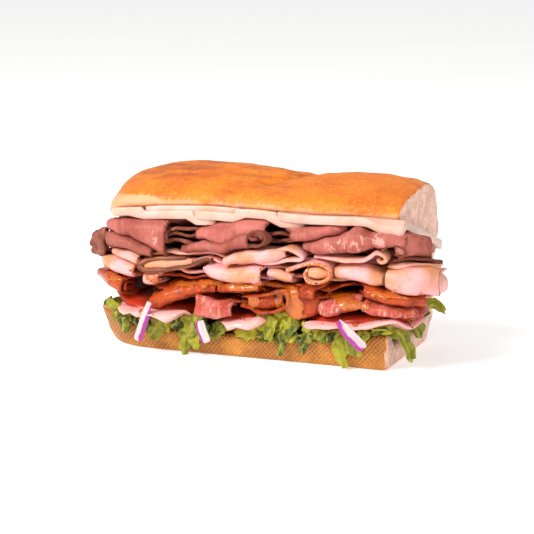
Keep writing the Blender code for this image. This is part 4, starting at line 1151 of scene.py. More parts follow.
# How dark each slice is painted, 0 to 1, outer and inner face: painted shade inside folds, partly roasted
# brown
SHADES = {
    "beef_1": (0.12, 0.45), "beef_2": (0.95, 1.0), "beef_3": (0.45, 0.6), "beef_4": (0.0, 0.9),
    "beef_5": (0.35, 0.5), "beef_6": (0.05, 0.9), "beef_7": (0.1, 0.3), "beef_8": (0.35, 0.7),
    "beef_9": (0.8, 0.9), "turkey_2": (0.3, 0.3), "turkey_3": (0.55, 0.95), "turkey_4": (0.4, 0.4),
    "turkey_8": (0.3, 0.9), "turkey_10": (0.25, 0.25), "turkey_11": (0.35, 0.35),
    "turkey_12": (0.0, 0.6), "turkey_13": (0.15, 0.3), "spiced_3": (0.2, 0.2), "spiced_8": (0.15, 0.3),
    "spiced_9": (0.35, 0.4),
}
# How much further the folds swell than their solids, to close the gaps between them
PLUMP = {"beef": 0.7, "turkey": 0.7, "spiced": 0.2}
# Slices deeper in the stack: kind, left and right x, stack height, front y and thickness
INNER = (
    ("beef", -62, 78, 55.6, -34.0, 1.4), ("beef", -44, 70, 58.4, -34.5, 1.3),
    ("beef", -56, 80, 52.4, -35.0, 1.4), ("beef", -30, 60, 50.0, -36.0, 1.3),
    ("beef", -42, -12, 61.0, -36.0, 1.4), ("beef", 18, 32, 61.4, -34.0, 1.4),
    ("turkey", -58, 78, 47.6, -35.0, 1.6), ("turkey", -54, 78, 44.6, -35.5, 1.6),
    ("turkey", -56, 76, 39.6, -36.0, 1.6), ("spiced", -54, 78, 36.2, -36.0, 1.3),
    ("spiced", -48, 76, 31.6, -37.0, 1.3), ("spiced", -44, 74, 27.4, -37.0, 1.3),
)
# Folds seen inside the loops and open ends of other slices: kind, thickness, reach,
# stations as in FOLDS, and how dark they are painted, as painted shade deep in the loops
LINERS = (
    ("beef", 1.7, 16, ((-81, -6, 45.4, 51.0), (-77.5, -14.0, 44.6, 53.8), (-71, -22.5, 44.6, 54.0),
                       (-65, -28.6, 44.8, 53.0)), 1.0),
    ("beef", 1.6, 22, ((67, -38.6, 56.4, 61.2), (73, -40.2, 56.4, 61.8), (79, -39.8, 57.4, 61.6),
                       (86, -36.6, 56.6, 61.0)), 0.1),
    ("turkey", 1.9, 22, ((0, -40, 45.7, 47.6), (9, -42.6, 46.2, 50.0), (17, -43.4, 47.0, 51.6),
                         (25, -43, 48.4, 52.2), (30, -40.6, 49.6, 51.8)), 0.05),
    ("turkey", 1.6, 14, ((41.6, -40.6, 42.8, 45.2), (46, -41.4, 42.4, 46.0),
                         (50.6, -40.6, 43.0, 45.2)), 0.75),
    ("turkey", 1.6, 14, ((-40.5, -39.4, 41.8, 43.4), (-33, -40.4, 41.4, 43.8), (-24, -40.2, 42.2, 43.8),
                         (-16, -39.0, 43.6, 44.4)), 0.8),
    ("spiced", 1.4, 16, ((29, -38.0, 23.6, 34.4), (34, -40.2, 21.4, 35.0), (41, -39.6, 22.6, 33.4),
                         (46, -38.0, 25.0, 31.6)), 0.0),
    ("spiced", 1.4, 16, ((12, -39.5, 26.8, 30.5), (20, -40, 26.2, 31.4), (28, -39.4, 28.0, 32.4)), 0.0),
    ("spiced", 1.4, 16, ((-66, -24, 27.4, 29.8), (-58, -32.5, 27.0, 30.0), (-51, -37.6, 27.2, 30.4)), 0.0),
)
# Loops at the ends of slices: kind, thickness, profile as in ROLLS, front y, depth, how the
# front slants back to the right, and how dark the outer and inner faces are painted: roasted brown outside,
# painted shade inside the loop
LOOPS = (
    ("beef", 1.6, (
        (75.4, 54.6), (77.4, 57.2), (80.6, 58.4), (84.0, 57.6), (85.8, 55.2), (85.4, 52.8), (82.8, 51.6),
    ), -41.8, 22, 0.35, (0.75, 1.0)),
    ("beef", 1.7, (
        (78, 60.6), (83, 61.0), (87.6, 60.8), (91.2, 59.4), (92.4, 56.8), (91.0, 54.2), (87.6, 53.2),
        (84.6, 54.0), (84.2, 56.6), (86.8, 58.0), (89.0, 57.0),
    ), -40.2, 16, 0.6, (0.15, 0.6)),
    ("turkey", 2.0, (
        (79, 44.2), (86, 44.0), (90.4, 42.2), (92.8, 38.8), (93.0, 34.6), (91.2, 31.0), (84, 29.0),
    ), -18.0, 20, 0.3, (0.1, 0.3)),
    ("beef", 1.3, (
        (8, 54.0), (12.5, 54.0), (18.0, 54.2), (21.6, 56.6), (20.4, 59.4), (16.8, 60.4), (13.8, 59.0),
        (14.4, 56.9), (17.4, 56.9),
    ), -44.4, 8, 0.0, (0.45, 0.8)),
)
# Crumpling of slices, by name or kind: size of the creases and how deep they are
CRUMPLES = {"beef_2": (5.5, 3.0), "beef": (6.0, 0.8), "turkey": (8.0, 0.6), "spiced": (4.0, 0.8)}
FILLER_CRUMPLE = (5.0, 0.5)  # for the slices that fill gaps
PLAIN_SHADE = (0.0, 0.2)  # as in SHADES, for every other slice
OUTLINED = ("turkey_3", "turkey_12")  # slices of turkey with a thin dark outline
DOTTED = ("turkey_5", "turkey_8", "turkey_1")  # slices of turkey with a dotted roasted rim
PINK = ("spiced_3", "spiced_8", "spiced_9")  # slices of salami
# How far the pale band reaches up the lid's front edge, over x
PALE_BAND = ((-76, 9.0), (-60, 8.0), (-47, 6.4), (-34, 3.6), (-15, 2.4), (20, 2.6), (50, 2.6), (76, 1.6))
# How brown the lid is along its top, over x
BROWN_TOP = ((-70, 0.2), (-50, 0.85), (-30, 0.8), (-10, 0.5), (10, 0.7), (28, 0.5), (40, 0.2), (80, 0.25))
# Rows of dimples in the base's crust
DIMPLE_X = 2.2
DIMPLE_Z = 2.4
# Faces along and across the slices
FOLD_ROWS = 72
ROLL_ROWS = 110
SLICE_ROWS = 40
# How much larger than its solid a slice of tomato is made
TOMATO_WIDER = (1.02, 1.05)
TOMATO_THICKER = 1.0
ONION_FORWARD = 1.8  # how much further forward than its solid an onion strip hangs
CREAM_LEAST_BULGE = 0.7
CREAM_BULGE = 3.0
SHRED_FRONT_Y = -36.9
LOOSE_SPAN = (-56, 72)  # left and right x of the loose shreds
# Sauce: its window in x and z, the step of its net, and the amounts where it is looked
# for, where it lies and where pepper sticks to it
SAUCE_WINDOW = (-72.0, 98.0, 18.0, 42.0)
SAUCE_STEP = 0.8
SAUCE_NEAR = -0.4
SAUCE_LIES = 0.25
SAUCE_HOLDS = 0.35
SAUCE_LIFT = 0.12
SAUCE_T = 0.4
PEPPER_WINDOW = (-68, 92, 19, 40)
PEPPER_RADIUS = 0.5
PEPPER_TRIES = 60  # places tried for each speck
# Lights: name, place in metres, width, power and colour
LIGHTS = (
    ("key", (-0.5, -0.8, 0.9), 0.55, 19.0, (1.0, 0.97, 0.93)),
    ("fill", (0.9, -0.7, 0.45), 0.7, 5.0, (1.0, 0.98, 0.96)),
)
LIGHT_AIM = (0.005, 0.0, 0.04)
FLOOR_SIZE = 6.0
WHITE = (1.0, 1.0, 1.0, 1.0)


# Pieces

def skin(name, rings, around):
    """A closed skin through sections, with a face over each end."""
    obj, i, j = grid(name, len(rings) - 1, around)
    points = np.array([even_ring(ring, around) for ring in rings])
    set_points(obj, points[i, j % around])
    only(obj)
    bpy.ops.object.mode_set(mode="EDIT")
    bpy.ops.mesh.select_all(action="SELECT")
    bpy.ops.mesh.remove_doubles(threshold=1e-6)
    bpy.ops.mesh.fill_holes(sides=0)
    bpy.ops.object.mode_set(mode="OBJECT")
    face_out(obj)
    return obj


def slab(name, us, vs, place, rim):
    """A closed thick sheet: place gives the point for shares u and v and side -1 or 1."""
    obj, i, j = grid(name, us, vs)
    modify(obj, "thickness", "SOLIDIFY", thickness=MM, offset=0.0)
    us_at = spaced(us, rim)
    vs_at = spaced(vs, rim)
    both = np.array([[[place(u, v, side) for v in vs_at] for u in us_at] for side in (1, -1)])
    set_points(obj, np.concatenate((both[0][i, j], both[1][i, j])))
    lie = np.stack([us_at[i], vs_at[j], np.zeros(len(i))], axis=1)
    add_values(obj, "lie", np.concatenate((lie, lie)))
    face_out(obj)
    return obj


def end_close(count, start):
    """Shares of a length, close together at its rounded start."""
    first = start + (0.25 - start) * (1 - np.cos(np.linspace(0, math.pi / 2, count // 3)))
    return np.concatenate((first[:-1], np.linspace(0.25, 1.0, count)))


def tear_edge(hinge):
    """Draws the left edge of the hinge out unevenly, as torn bread."""
    points = get_points(hinge)
    for point in points:
        near = smooth((HINGE_LEFT_X + HINGE_TORN - point[0]) / 10.0)
        point[0] -= near * (1.0 + 2.2 * noise_at(0.0, point[1], point[2], 5.0, 8.0))
    set_points(hinge, points)


def bread_form(look):
    """The three parts of the roll, grown together into one skin."""
    lid = skin("lid", [lid_ring(t) for t in end_close(56, 0.004)], 96)
    base = skin("base", [base_ring(t) for t in end_close(56, 0.003)], 110)
    hinge = skin("hinge", [hinge_ring(t) for t in np.linspace(0, 1, 60)], 60)
    tear_edge(hinge)
    roll = join("sandwich_roll", [lid, base, hinge])
    modify(roll, "skin", "REMESH", mode="VOXEL", voxel_size=look.bread_detail)
    modify(roll, "soft", "SMOOTH", factor=0.5, iterations=4)
    return roll


def crumb_values(points, normals):
    """How much crumb shows at each point, from 0 to 1, and its distance from the crust."""
    x, y, z = points.T
    to_filling = np.stack([np.zeros(len(x)), -3.0 - y, 38.0 - z], axis=1)
    facing = (normals * to_filling).sum(axis=1) / np.maximum(np.linalg.norm(to_filling, axis=1), 1.0)
    crumb = np.clip((facing - 0.2) / 0.25, 0, 1)
    on_cut = (x > cut_x(z) - 1.6) & (normals[:, 0] > 0.55)
    on_tear = (abs(x - HINGE_LEFT_X) < HINGE_TORN) & (normals[:, 0] < -0.45)
    on_tear &= (y > 22.0) & (abs(z - 38.0) < 15.0)
    crumb = np.maximum(crumb, (on_cut | on_tear) * 1.0)
    crust = [i for i in range(len(x)) if crumb[i] < 0.5]
    tree = kdtree.KDTree(len(crust))
    for i in crust:
        tree.insert(points[i], i)
    tree.balance()
    depth = np.array([tree.find(p)[2] if c >= 0.5 else 0.0 for p, c in zip(points, crumb)])
    return crumb, depth


def bread_swell(x, y, z, crumb):
    """How far a point of the roll stands out: swells and wrinkles of crust, or torn crumb."""
    swell = 0.4 * noise_at(x, y, z, 19.0, 2.0) + 0.25 * noise_at(x, y, z, 6.0, 4.0)
    wrinkle = 0.22 * noise_at(x * 0.8, y, z, 2.6, 6.0)
    torn = 0.9 * noise_at(x, y, z, 3.4, 1.0) + 0.5 * noise_at(x, y, z, 7.0, 7.0)
    out = (swell + wrinkle) * (1 - crumb) + torn * crumb * 0.6
    if z > 60.0:
        groove = math.exp(-((crease_away(x, y) / 1.8) ** 2))
        out -= 0.9 * groove * smooth((24.0 - abs(y - CREASE_Y)) / 12.0)
    return out


def lid_tones(x, y, z):
    """How pale and how brown the lid's crust is at a point, from 0 to 1."""
    if z <= 46.0:
        return 0.0, 0.0
    band = along(PALE_BAND, x) + 1.2 * noise_at(x, y, z, 7.0, 3.3)
    rise = z - lid_z(x, min(y, 0.0))
    pale = smooth((band - rise) / 3.4 + 0.5) if y < 2.0 else 0.0
    top = smooth((z - along(CROWN_LINE, x) + 5.5) / 4.5)
    near_crease = math.exp(-(((crease_away(x, y) + 2.5) / 4.0) ** 2)) * smooth((z - 64) / 8)
    return pale, max(top * along(BROWN_TOP, x), 0.75 * near_crease)


def bread_relief(roll):
    """Relief of the crust and the crumb, and the values that the roll's material reads."""
    points = get_points(roll)
    normals = read_vectors(roll, "normal")
    crumb, depth = crumb_values(points, normals)
    pale, brown = np.array([lid_tones(*p) for p in points]).T
    out = np.array([bread_swell(*p, c) for p, c in zip(points, crumb)])
    out *= np.clip(points[:, 2] / 2.0, 0, 1)
    moved = points + normals * out[:, None]
    moved[:, 2] = np.maximum(moved[:, 2], 0.0)
    set_points(roll, moved)
    ragged = np.array([noise_at(*p, 9.0, 5.0) for p in moved])
    lower = np.clip((25.0 - points[:, 2] + 3.0 * ragged) / 7.0, 0, 1)
    values = {"crumb": crumb, "depth": depth, "pale": pale, "brown": brown, "lower": lower}
    for name, shares in values.items():
        add_values(roll, name, shares)


def cheese_sheet(row):
    """A sheet of cheese under the lid, whose front edge fills up to the sheet above it."""
    name, left, right, front, hung = row
    length = right - left

    def place(u, v, side):
        corner = 2.4 * (abs(2 * u - 1) ** 16)
        x = left + length * u
        y = front + corner + (FILL_BACK_Y - front - corner) * v
        y += 0.5 * noise_at(x, 0, v * 9, 9.0, len(name) + left) * (1 - v)
        sheets = along(hung, x)
        droop = 2.6 * smooth((-31.5 - y) / 6.0) * smooth((x - 66.0) / 10.0)
        z = lid_z(x, y) - GAP - CHEESE_T / 2 - SHEET_PITCH * sheets - droop
        rim = min(u * length, (1 - u) * length, v * 60, (1 - v) * 60)
        soft = 0.8 + 0.2 * smooth(rim / 0.35)
        z += 0.2 * noise_at(x, y, 0.0, 14.0, 2.5)
        seen = smooth((-31.0 - y) / 4.0)
        half = CHEESE_T / 2 + GAP
        if side > 0:
            above = sheets % 1.0 if sheets < 2.0 else 0.0
            half += 0.3 + 0.5 * seen + SHEET_PITCH * above * (1 - smooth((above - 0.75) / 0.25)) * seen
        else:
            half += max(0.6 * seen, 1.7 * smooth((x - 78.0) / 5.0))
        return x, y, z + side * half * soft

    return slab("sheet_" + name, 110, 60, place, 0.0035)


def slice_sheet(name, sheet, thickness, us, vs, shades=None):
    """A slice laid in the stack, with the wobble it shares with its neighbours."""
    kind = name.split("_")[0]
    size, amount = CRUMPLES.get(name) or CRUMPLES.get(kind, FILLER_CRUMPLE)

    def point_at(u, v):
        x, y, h = sheet(u, v)
        dx, dy, dz = noise.noise_vector(Vector((x / size, y / size, h / size + len(name))))
        x, y, h = wobble(x + amount * dx, y + amount * dy, h + amount * dz)
        return x, y, stack_z(x, y, h)

    obj = thick_sheet("slice_" + name, us, vs, point_at, thickness, stack_share)
    count = len(obj.data.vertices)
    # dark is painted shade on the inner faces; on the outer faces it is partly painted shade, partly
    # roasted brown
    outer, inner = shades or SHADES.get(name, PLAIN_SHADE)
    add_values(obj, "dark", np.where(np.arange(count) < count // 2, outer, inner))
    add_values(obj, "line", np.full(count, 1.0 if name in OUTLINED else 0.0))
    add_values(obj, "dots", np.full(count, 1.0 if name in DOTTED else 0.0))
    return obj


def inner_sheet(number, x0, x1, h, front):
    """Sheet function of a slice deeper in the stack, with a ruffled front edge."""

    def point_at(u, v):
        x = x0 + (x1 - x0) * v
        ends = max(smooth((x - x1 + 24.0) / 24.0), smooth((x0 + 16.0 - x) / 16.0))
        edge = front + 14.0 * ends + 2.2 * noise_at(x, 0.0, h, 9.0, number)
        ruffle = 1.6 * noise_at(x, 0.0, 0.0, 8.0, number * 3.7) * (1 - u) ** 2
        return x, edge + (FILL_BACK_Y - 2.0 - edge) * u, h + ruffle

    return point_at


def loop_sheet(profile, front, depth, slant):
    """Sheet function of a rolled slice whose front slants back to the right."""
    rolled = roll_sheet(profile, front, depth, 0.0, 0, 1.5)
    left = min(x for x, _ in profile)

    def point_at(u, v):
        x, y, h = rolled(u, v)
        return x, y + slant * (x - left), h

    return point_at


def fill_gaps(kind, slot, mat):
    """Slices without a node of their own, which show in the gaps between the others."""
    for number, (of_kind, x0, x1, h, front, thickness) in enumerate(INNER):
        if of_kind == kind:
            sheet = inner_sheet(number, x0, x1, h, front)
            piece = slice_sheet(f"inner_{kind}_{number}", sheet, thickness, 26, 120)
            finish_piece(piece, mat, slot)
    for number, (of_kind, thickness, profile, front, depth, slant, shades) in enumerate(LOOPS):
        if of_kind == kind:
            sheet = loop_sheet(profile, front, depth, slant)
            piece = slice_sheet(f"loop_{kind}_{number}", sheet, thickness, 90, 24, shades)
            finish_piece(piece, mat, slot)
    for number, (of_kind, thickness, reach, stations, brown) in enumerate(LINERS):
        if of_kind == kind:
            sheet = fold_sheet(NOSE, reach, (0, 0, 0), stations)
            # the liners' brown is painted shade inside the loops and open ends
            piece = slice_sheet(f"liner_{kind}_{number}", sheet, thickness, 60, 36, (brown, brown))
            finish_piece(piece, mat, slot)


def build_meat(kind, slot, mat, pink=None):
    """All slices of one kind. Those named in PINK take the second material."""
    for name, thickness, profile, reach, short, stations in FOLDS:
        if name.startswith(kind):
            rows = ROLL_ROWS if profile is SPIRAL else FOLD_ROWS
            fuller = 0.0 if profile is PAGE else PLUMP[kind]
            stations = [(x, y, low - fuller, high + fuller) for x, y, low, high in stations]
            sheet = fold_sheet(profile, reach, short, stations)
            piece = slice_sheet(name, sheet, thickness, rows, SLICE_ROWS)
            finish_piece(piece, pink if name in PINK else mat, slot, name)
    for name, thickness, profile, front, depth, rise, drift, stand_back in ROLLS:
        if name.startswith(kind):
            sheet = roll_sheet(profile, front, depth, rise, drift, stand_back)
            piece = slice_sheet(name, sheet, thickness, ROLL_ROWS, SLICE_ROWS)
            finish_piece(piece, mat, slot, name)
    fill_gaps(kind, slot, mat)


def build_rows(rows, build, slot, mat):
    """One piece for each row of a table, in place of the node that the row names."""
    for row in rows:
        finish_piece(build(row), mat, slot, row[0])


def tomato_slice(row):
    """A round slice of tomato with a rounded skin."""
    name, cx, cy, radius, low, high = row
    wide, deep = TOMATO_WIDER

    def place(u, v, side):
        a, b = on_disc(u, v)
        x = cx + a * radius * wide + 0.3 * noise_at(a * 9, b * 9, 0.0, 4.0, cx)
        y = cy + b * radius * deep
        soft = max(1 - math.hypot(a, b) ** 14, 0.0) ** 0.5
        middle = (low + high) / 2 + 0.35 * noise_at(x, y, 0.0, 12.0, cx)
        return x, y, stack_z(x, y, middle + side * soft * (high - low + TOMATO_THICKER) / 2)

    obj = slab("round_" + name, 64, 64, place, 0.003)
    from_centre = get_points(obj)[:, :2] - (cx, cy)
    add_values(obj, "rim", radius - np.linalg.norm(from_centre, axis=1))
    return obj


def cream_dollop(row):
    """A dollop of mayonnaise, whose front follows its outline in CREAM_EDGES."""
    name, cx, cy, half_x, half_y, low, high = row
    top_line, bottom_line = CREAM_EDGES[name]

    def place(u, v, side):
        a, b = on_disc(u, v)
        r = math.hypot(a, b)
        square = 1.0 / max((abs(a / r) ** 3 + abs(b / r) ** 3) ** (1 / 3), 0.1) if r > 1e-6 else 1.0
        x = cx + a * half_x * square
        y = cy + b * half_y * square + 0.8 * noise_at(x, 0.0, 0.0, 5.0, cx) * r
        soft = side * (max(1 - r**12, 0.0) ** 0.5)
        body = stack_z(x, y, (low + high) / 2 + soft * (high - low) / 2)
        shown = (1 + soft) / 2
        edge = along(bottom_line, x) * (1 - shown) + along(top_line, x) * shown
        front = smooth((-29.0 - y) / 8.0)
        z = body + (edge - body) * front
        bulge = front * (CREAM_LEAST_BULGE + CREAM_BULGE * soft_bulge(shown) ** 0.6)
        return x, y - bulge + 0.9 * noise_at(x, y, z, 4.5, 1.7) * front, z

    return slab("dollop_" + name, 90, 72, place, 0.004)


def soft_bulge(share):
    """Roundness of an edge from its bottom, share 0, to its top, share 1."""
    return 1 - (2 * share - 1) ** 2


def onion_strip(row):
    """A strip of onion that hangs over the base, with skin along one edge."""
    name, width, points = row

    def point_at(u, v):
        x, y, z = curve_point(points, u)
        xb, _, zb = curve_point(points, min(u + 0.02, 1.0))
        xa, _, za = curve_point(points, max(u - 0.02, 0.0))
        length = math.hypot(xb - xa, zb - za)
        ends = 0.45 + 0.55 * smooth(u * 2.5) if name != "onion_2" else 0.75 + 0.25 * smooth(u * 3)
        ends *= 1 - 0.25 * smooth((u - 0.85) / 0.15)
        across = (v - 0.5) * width * ends
        arch = 0.5 * (1 - (2 * v - 1) ** 2) + 0.12 * math.cos(v * 12.5)
        forward = arch + ONION_FORWARD
        return x - (zb - za) / length * across, y - forward, z + (xb - xa) / length * across

    obj = thick_sheet("strip_" + name, 60, 22, point_at, ONION_T)
    start, on_left = ONION_SKINS[name]
    side = across_share(obj)
    side = 1 - side if on_left else side
    add_values(obj, "side", side + 0.56 - start)
    return obj


def shred(name, path, width, rng, tone):
    """A shred of leaf along a path, crinkled, with a ragged rim. Paths are x, y, z."""
    seed = rng.uniform(0, 90)
    twist = rng.uniform(-0.7, 0.7)
    curl = rng.uniform(0.5, 1.5) * rng.choice((-1, 1))
    line = even_curve([list(p) for p in path], 40)
    start, end = Vector(path[0]), Vector(path[-1])
    run = (end - start).normalized()
    out = Vector((0, -1, 0)) if abs(run.y) < 0.8 else Vector((1, 0, 0))
    if path[0][0] > 70.0:
        out = Vector((0.8, -0.6, 0))
    side = run.cross(out).normalized()

    def point_at(u, v):
        p = Vector(curve_point(line, u))
        b = 2 * v - 1
        ragged = 1 + 0.7 * noise.noise(Vector((u * 4.5 + seed, round(v) * 7.0, 2.0)))
        taper = smooth(u * 6 + 0.35) * (1 - 0.6 * u**6)
        half = width * 0.66 * ragged * taper
        turn = twist * (u - 0.3) + 0.3 * math.sin(4 * u + seed)
        across = side * math.cos(turn) + out * math.sin(turn)
        crinkle = 1.5 * noise.noise(Vector((p.x / 3.6 + seed, p.z / 3.0, b * width / 4.0)))
        cup = curl * b * b * (0.4 + 0.6 * u)
        return tuple(p + across * (b * half) + out * (crinkle + cup))

    obj = thick_sheet(name, 30, 10, point_at, SHRED_T)
    add_values(obj, "rib", np.abs(across_share(obj) - 0.5))
    add_values(obj, "tone", np.full(len(obj.data.vertices), tone))
    return obj


def lettuce_core():
    """The heap that fills the base's hollow, with an uneven top."""

    def place(u, v, side):
        x, y, z = heap_place(u, v, side)
        if side > 0:
            z += 0.5 * noise_at(x, y, 0.0, 3.0, 4.0) + 0.6 * noise_at(x, y, 0.0, 6.5, 2.0) - 0.3
        return x, y, z

    obj = slab("lettuce_core", 110, 60, place, 0.006)
    count = len(obj.data.vertices)
    add_values(obj, "rib", np.ones(count))
    # painted shade on the core, deep in the base's hollow
    add_values(obj, "tone", np.full(count, 0.85))
    return obj


def front_path(points, depth, seed):
    """A shred's path from the bed over the base's edge and down its front."""
    (x0, z0), (x1, z1), (x2, z2) = points
    face = SHRED_FRONT_Y - 0.8 * (1.4 - depth) - 0.7 * (seed % 3)
    root = (x0 + 0.4, -33.6, z0 - 1.4)
    return (root, (x0, face + 1.4, z0 - 0.9), (x1, face, z1), (x2, face - 0.2, z2))


def build_leaves(look):
    """The heap of lettuce: its core, the shreds of the tables and small loose ones."""
    rng = random.Random(look.seed)
    parts = [lettuce_core()]
    for i, (points, width, depth) in enumerate(SHREDS):
        tone = rng.choice((0.0, 0.15, 0.4, 0.7, 1.0))
        parts.append(shred("shred", front_path(points, depth, i), width, rng, tone))
    for p0, p1, p2, width in END_SHREDS:
        parts.append(shred("shred", (p0, p1, p2), width, rng, rng.uniform(0.1, 0.8)))
    parts.append(shred("shred", LEFT_SHRED, 5.0, rng, 0.8))
    for i in range(look.shred_count):
        x = rng.uniform(*LOOSE_SPAN)
        drop = rng.uniform(3.0, 6.0)
        top = along(LIP_LINE, x) + rng.uniform(2.4, 4.6)
        points = ((x, top), (x + rng.uniform(-2, 2), top - drop / 2), (x + rng.uniform(-4, 4), top - drop))
        width = rng.uniform(2.6, 4.6)
        tone = rng.uniform(0.3, 1.0)
        parts.append(shred("shred", front_path(points, 1.6, i), width, rng, tone))
    leaves = join("lettuce_leaves", parts)
    inside = get_points(leaves)
    inside[:, 2] = np.maximum(inside[:, 2], SHRED_LEAST_Z)
    inside[:, 1] = np.maximum(inside[:, 1], SHRED_LEAST_Y)
    set_points(leaves, inside)
    return leaves


def fillings():
    """A tree for rays over everything between the two halves of the roll."""
    names = ("slice_", "round_", "dollop_", "sheet_", "strip_")
    points, faces = [], []
    for obj in sorted(bpy.data.objects, key=lambda o: o.name):
        if obj.type == "MESH" and obj.name.startswith(names):
            start = len(points)
            points += [tuple(p) for p in get_points(obj)]
            faces += [[start + k for k in poly.vertices] for poly in obj.data.polygons]
    return BVHTree.FromPolygons(points, faces)


def ray_hit(tree, x, z):
    """What the camera sees at x and z in the front plane: the point, its normal turned to
    the camera, and its distance."""
    start = Vector((x, FRONT_Y, z)) - TOWARDS * RAY_START
    hit, normal, _, away = tree.ray_cast(start, TOWARDS, RAY_START * 2)
    if hit and normal.dot(TOWARDS) >= 0:
        normal = -normal
    return hit, normal, away


def sauce_amount(x, z):
    """How much sauce shows at a place, over SAUCE_LIES where it lies."""
    amount = 0.0
    for cx, cz, wide, tall, strength in SAUCE_SPOTS:
        away = ((x - cx) / wide) ** 2 + ((z - cz) / tall) ** 2
        amount = max(amount, strength * (1.3 - away))
    return amount + 1.0 * noise_at(x, 0.0, z, 3.6, 2.2) + 0.9 * noise_at(x, 0.0, z, 1.5, 5.0)


def build_sauce(look, tree):
    """A net laid over what the camera sees, cut down to where sauce lies."""
    x0, x1, z0, z1 = SAUCE_WINDOW
    us = int((x1 - x0) / SAUCE_STEP)
    vs = int((z1 - z0) / SAUCE_STEP)
    obj, i, j = grid("sauce_glaze", us, vs)
    points = np.zeros((us + 1, vs + 1, 3))
    amounts = np.zeros((us + 1, vs + 1))
    depths = np.full((us + 1, vs + 1), np.nan)
    for a, b in np.ndindex(us + 1, vs + 1):
        x = x0 + a * SAUCE_STEP
        z = z0 + b * SAUCE_STEP
        amounts[a, b] = sauce_amount(x, z)
        points[a, b] = (x, FRONT_Y, z)
        if amounts[a, b] > SAUCE_NEAR:
            hit, normal, away = ray_hit(tree, x, z)
            if hit:
                lift = SAUCE_LIFT + 0.5 * smooth(amounts[a, b] - 0.3)
                points[a, b] = hit - TOWARDS * SAUCE_LIFT + normal * lift
                depths[a, b] = away
    set_points(obj, points[i, j])
    far = depths[i, j]
    wet = (amounts[i, j] > SAUCE_LIES) & ~np.isnan(far)
    obj.data.vertices.foreach_set("select", [False] * len(obj.data.vertices))
    obj.data.edges.foreach_set("select", [False] * len(obj.data.edges))
    for poly in obj.data.polygons:
        corners = list(poly.vertices)
        poly.select = not (wet[corners].all() and np.ptp(far[corners]) < look.sauce_reach / MM)
    only(obj)
    bpy.context.tool_settings.mesh_select_mode = (False, False, True)
    bpy.ops.object.mode_set(mode="EDIT")
    bpy.ops.mesh.delete(type="FACE")
    bpy.ops.mesh.select_all(action="SELECT")
    bpy.ops.mesh.delete_loose()
    bpy.ops.object.mode_set(mode="OBJECT")
    modify(obj, "soft", "SMOOTH", factor=0.5, iterations=5)
    modify(obj, "thickness", "SOLIDIFY", thickness=SAUCE_T * MM, offset=0.0)
    face_out(obj)
    return obj


def build_pepper(look, tree):
    """Flattened grains on the sauce that the camera sees."""
    rng = random.Random(look.seed + 1)
    bpy.ops.object.select_all(action="DESELECT")
    bpy.ops.mesh.primitive_ico_sphere_add(subdivisions=1, radius=PEPPER_RADIUS * MM)
    grain = bpy.context.object
    shape = get_points(grain)
    x0, x1, z0, z1 = PEPPER_WINDOW
    specks = []
    tries = 0
    while len(specks) < look.pepper_count and tries < look.pepper_count * PEPPER_TRIES:
        tries += 1
        x = rng.uniform(x0, x1)
        z = rng.uniform(z0, z1)
        if sauce_amount(x, z) < SAUCE_HOLDS:
            continue
        hit, normal, _ = ray_hit(tree, x, z)
        if not hit:
            continue
        speck = grain.copy()
        speck.data = grain.data.copy()
        bpy.context.collection.objects.link(speck)
        size = rng.uniform(0.5, 1.25)
        turn = Vector((0, 0, 1)).rotation_difference(normal)
        spot = hit - TOWARDS * 0.3
        placed = []
        for p in shape:
            bent = Vector(p) * size
            bent.z *= 0.6
            bent.x *= rng.uniform(0.85, 1.3)
            placed.append(turn @ bent + spot)
        set_points(speck, [tuple(p) for p in placed])
        specks.append(speck)
    bpy.data.objects.remove(grain)
    return join("pepper_specks", specks)


# Stage

def add_floor():
    bpy.ops.object.select_all(action="DESELECT")
    bpy.ops.mesh.primitive_plane_add(size=FLOOR_SIZE)
    floor = bpy.context.object
    floor.name = "floor"
    paint = Shader("floor", Roughness=0.7, Emission_Color=WHITE, Emission_Strength=0.4)
    paint.color(paint.mix(paint.noise(0.002, 2), (0.86, 0.86, 0.86), (0.88, 0.88, 0.88)))
    floor.data.materials.append(paint.mat)


def add_light(name, place, size, power, color):
    bpy.ops.object.light_add(type="AREA", location=place)
    light = bpy.context.object
    light.name = name
    light.data.size = size
    light.data.energy = power
    light.data.color = color
    aim = Vector(LIGHT_AIM) - Vector(place)
    light.rotation_euler = aim.to_track_quat("-Z", "Y").to_euler()


def add_world(scene):
    """A white background that lights the sandwich less than it shows."""
    world = bpy.data.worlds.new("world")
    world.use_nodes = True
    nodes, links = world.node_tree.nodes, world.node_tree.links
    background = nodes["Background"]
    background.inputs["Color"].default_value = WHITE
    strength = nodes.new("ShaderNodeMapRange")
    strength.inputs["To Min"].default_value = 0.52
    strength.inputs["To Max"].default_value = 1.0
    links.new(nodes.new("ShaderNodeLightPath").outputs["Is Camera Ray"], strength.inputs["Value"])
    links.new(strength.outputs["Result"], background.inputs["Strength"])
    scene.world = world
    scene.view_settings.view_transform = "Standard"


def add_camera(scene):
    bpy.ops.object.camera_add(location=(LOOK_AT - TOWARDS * VIEW_DISTANCE) * MM)
    camera = bpy.context.object
    camera.name = "camera"
    camera.rotation_euler = TOWARDS.to_track_quat("-Z", "Y").to_euler()
    camera.data.lens = LENS
    camera.data.sensor_width = SENSOR
    scene.camera = camera


# Settings, operators and panel

def tint(name, description, default):
    return bpy.props.FloatVectorProperty(
        name=name, description=description, default=default, subtype="COLOR", size=3, min=0.0, max=1.0
    )


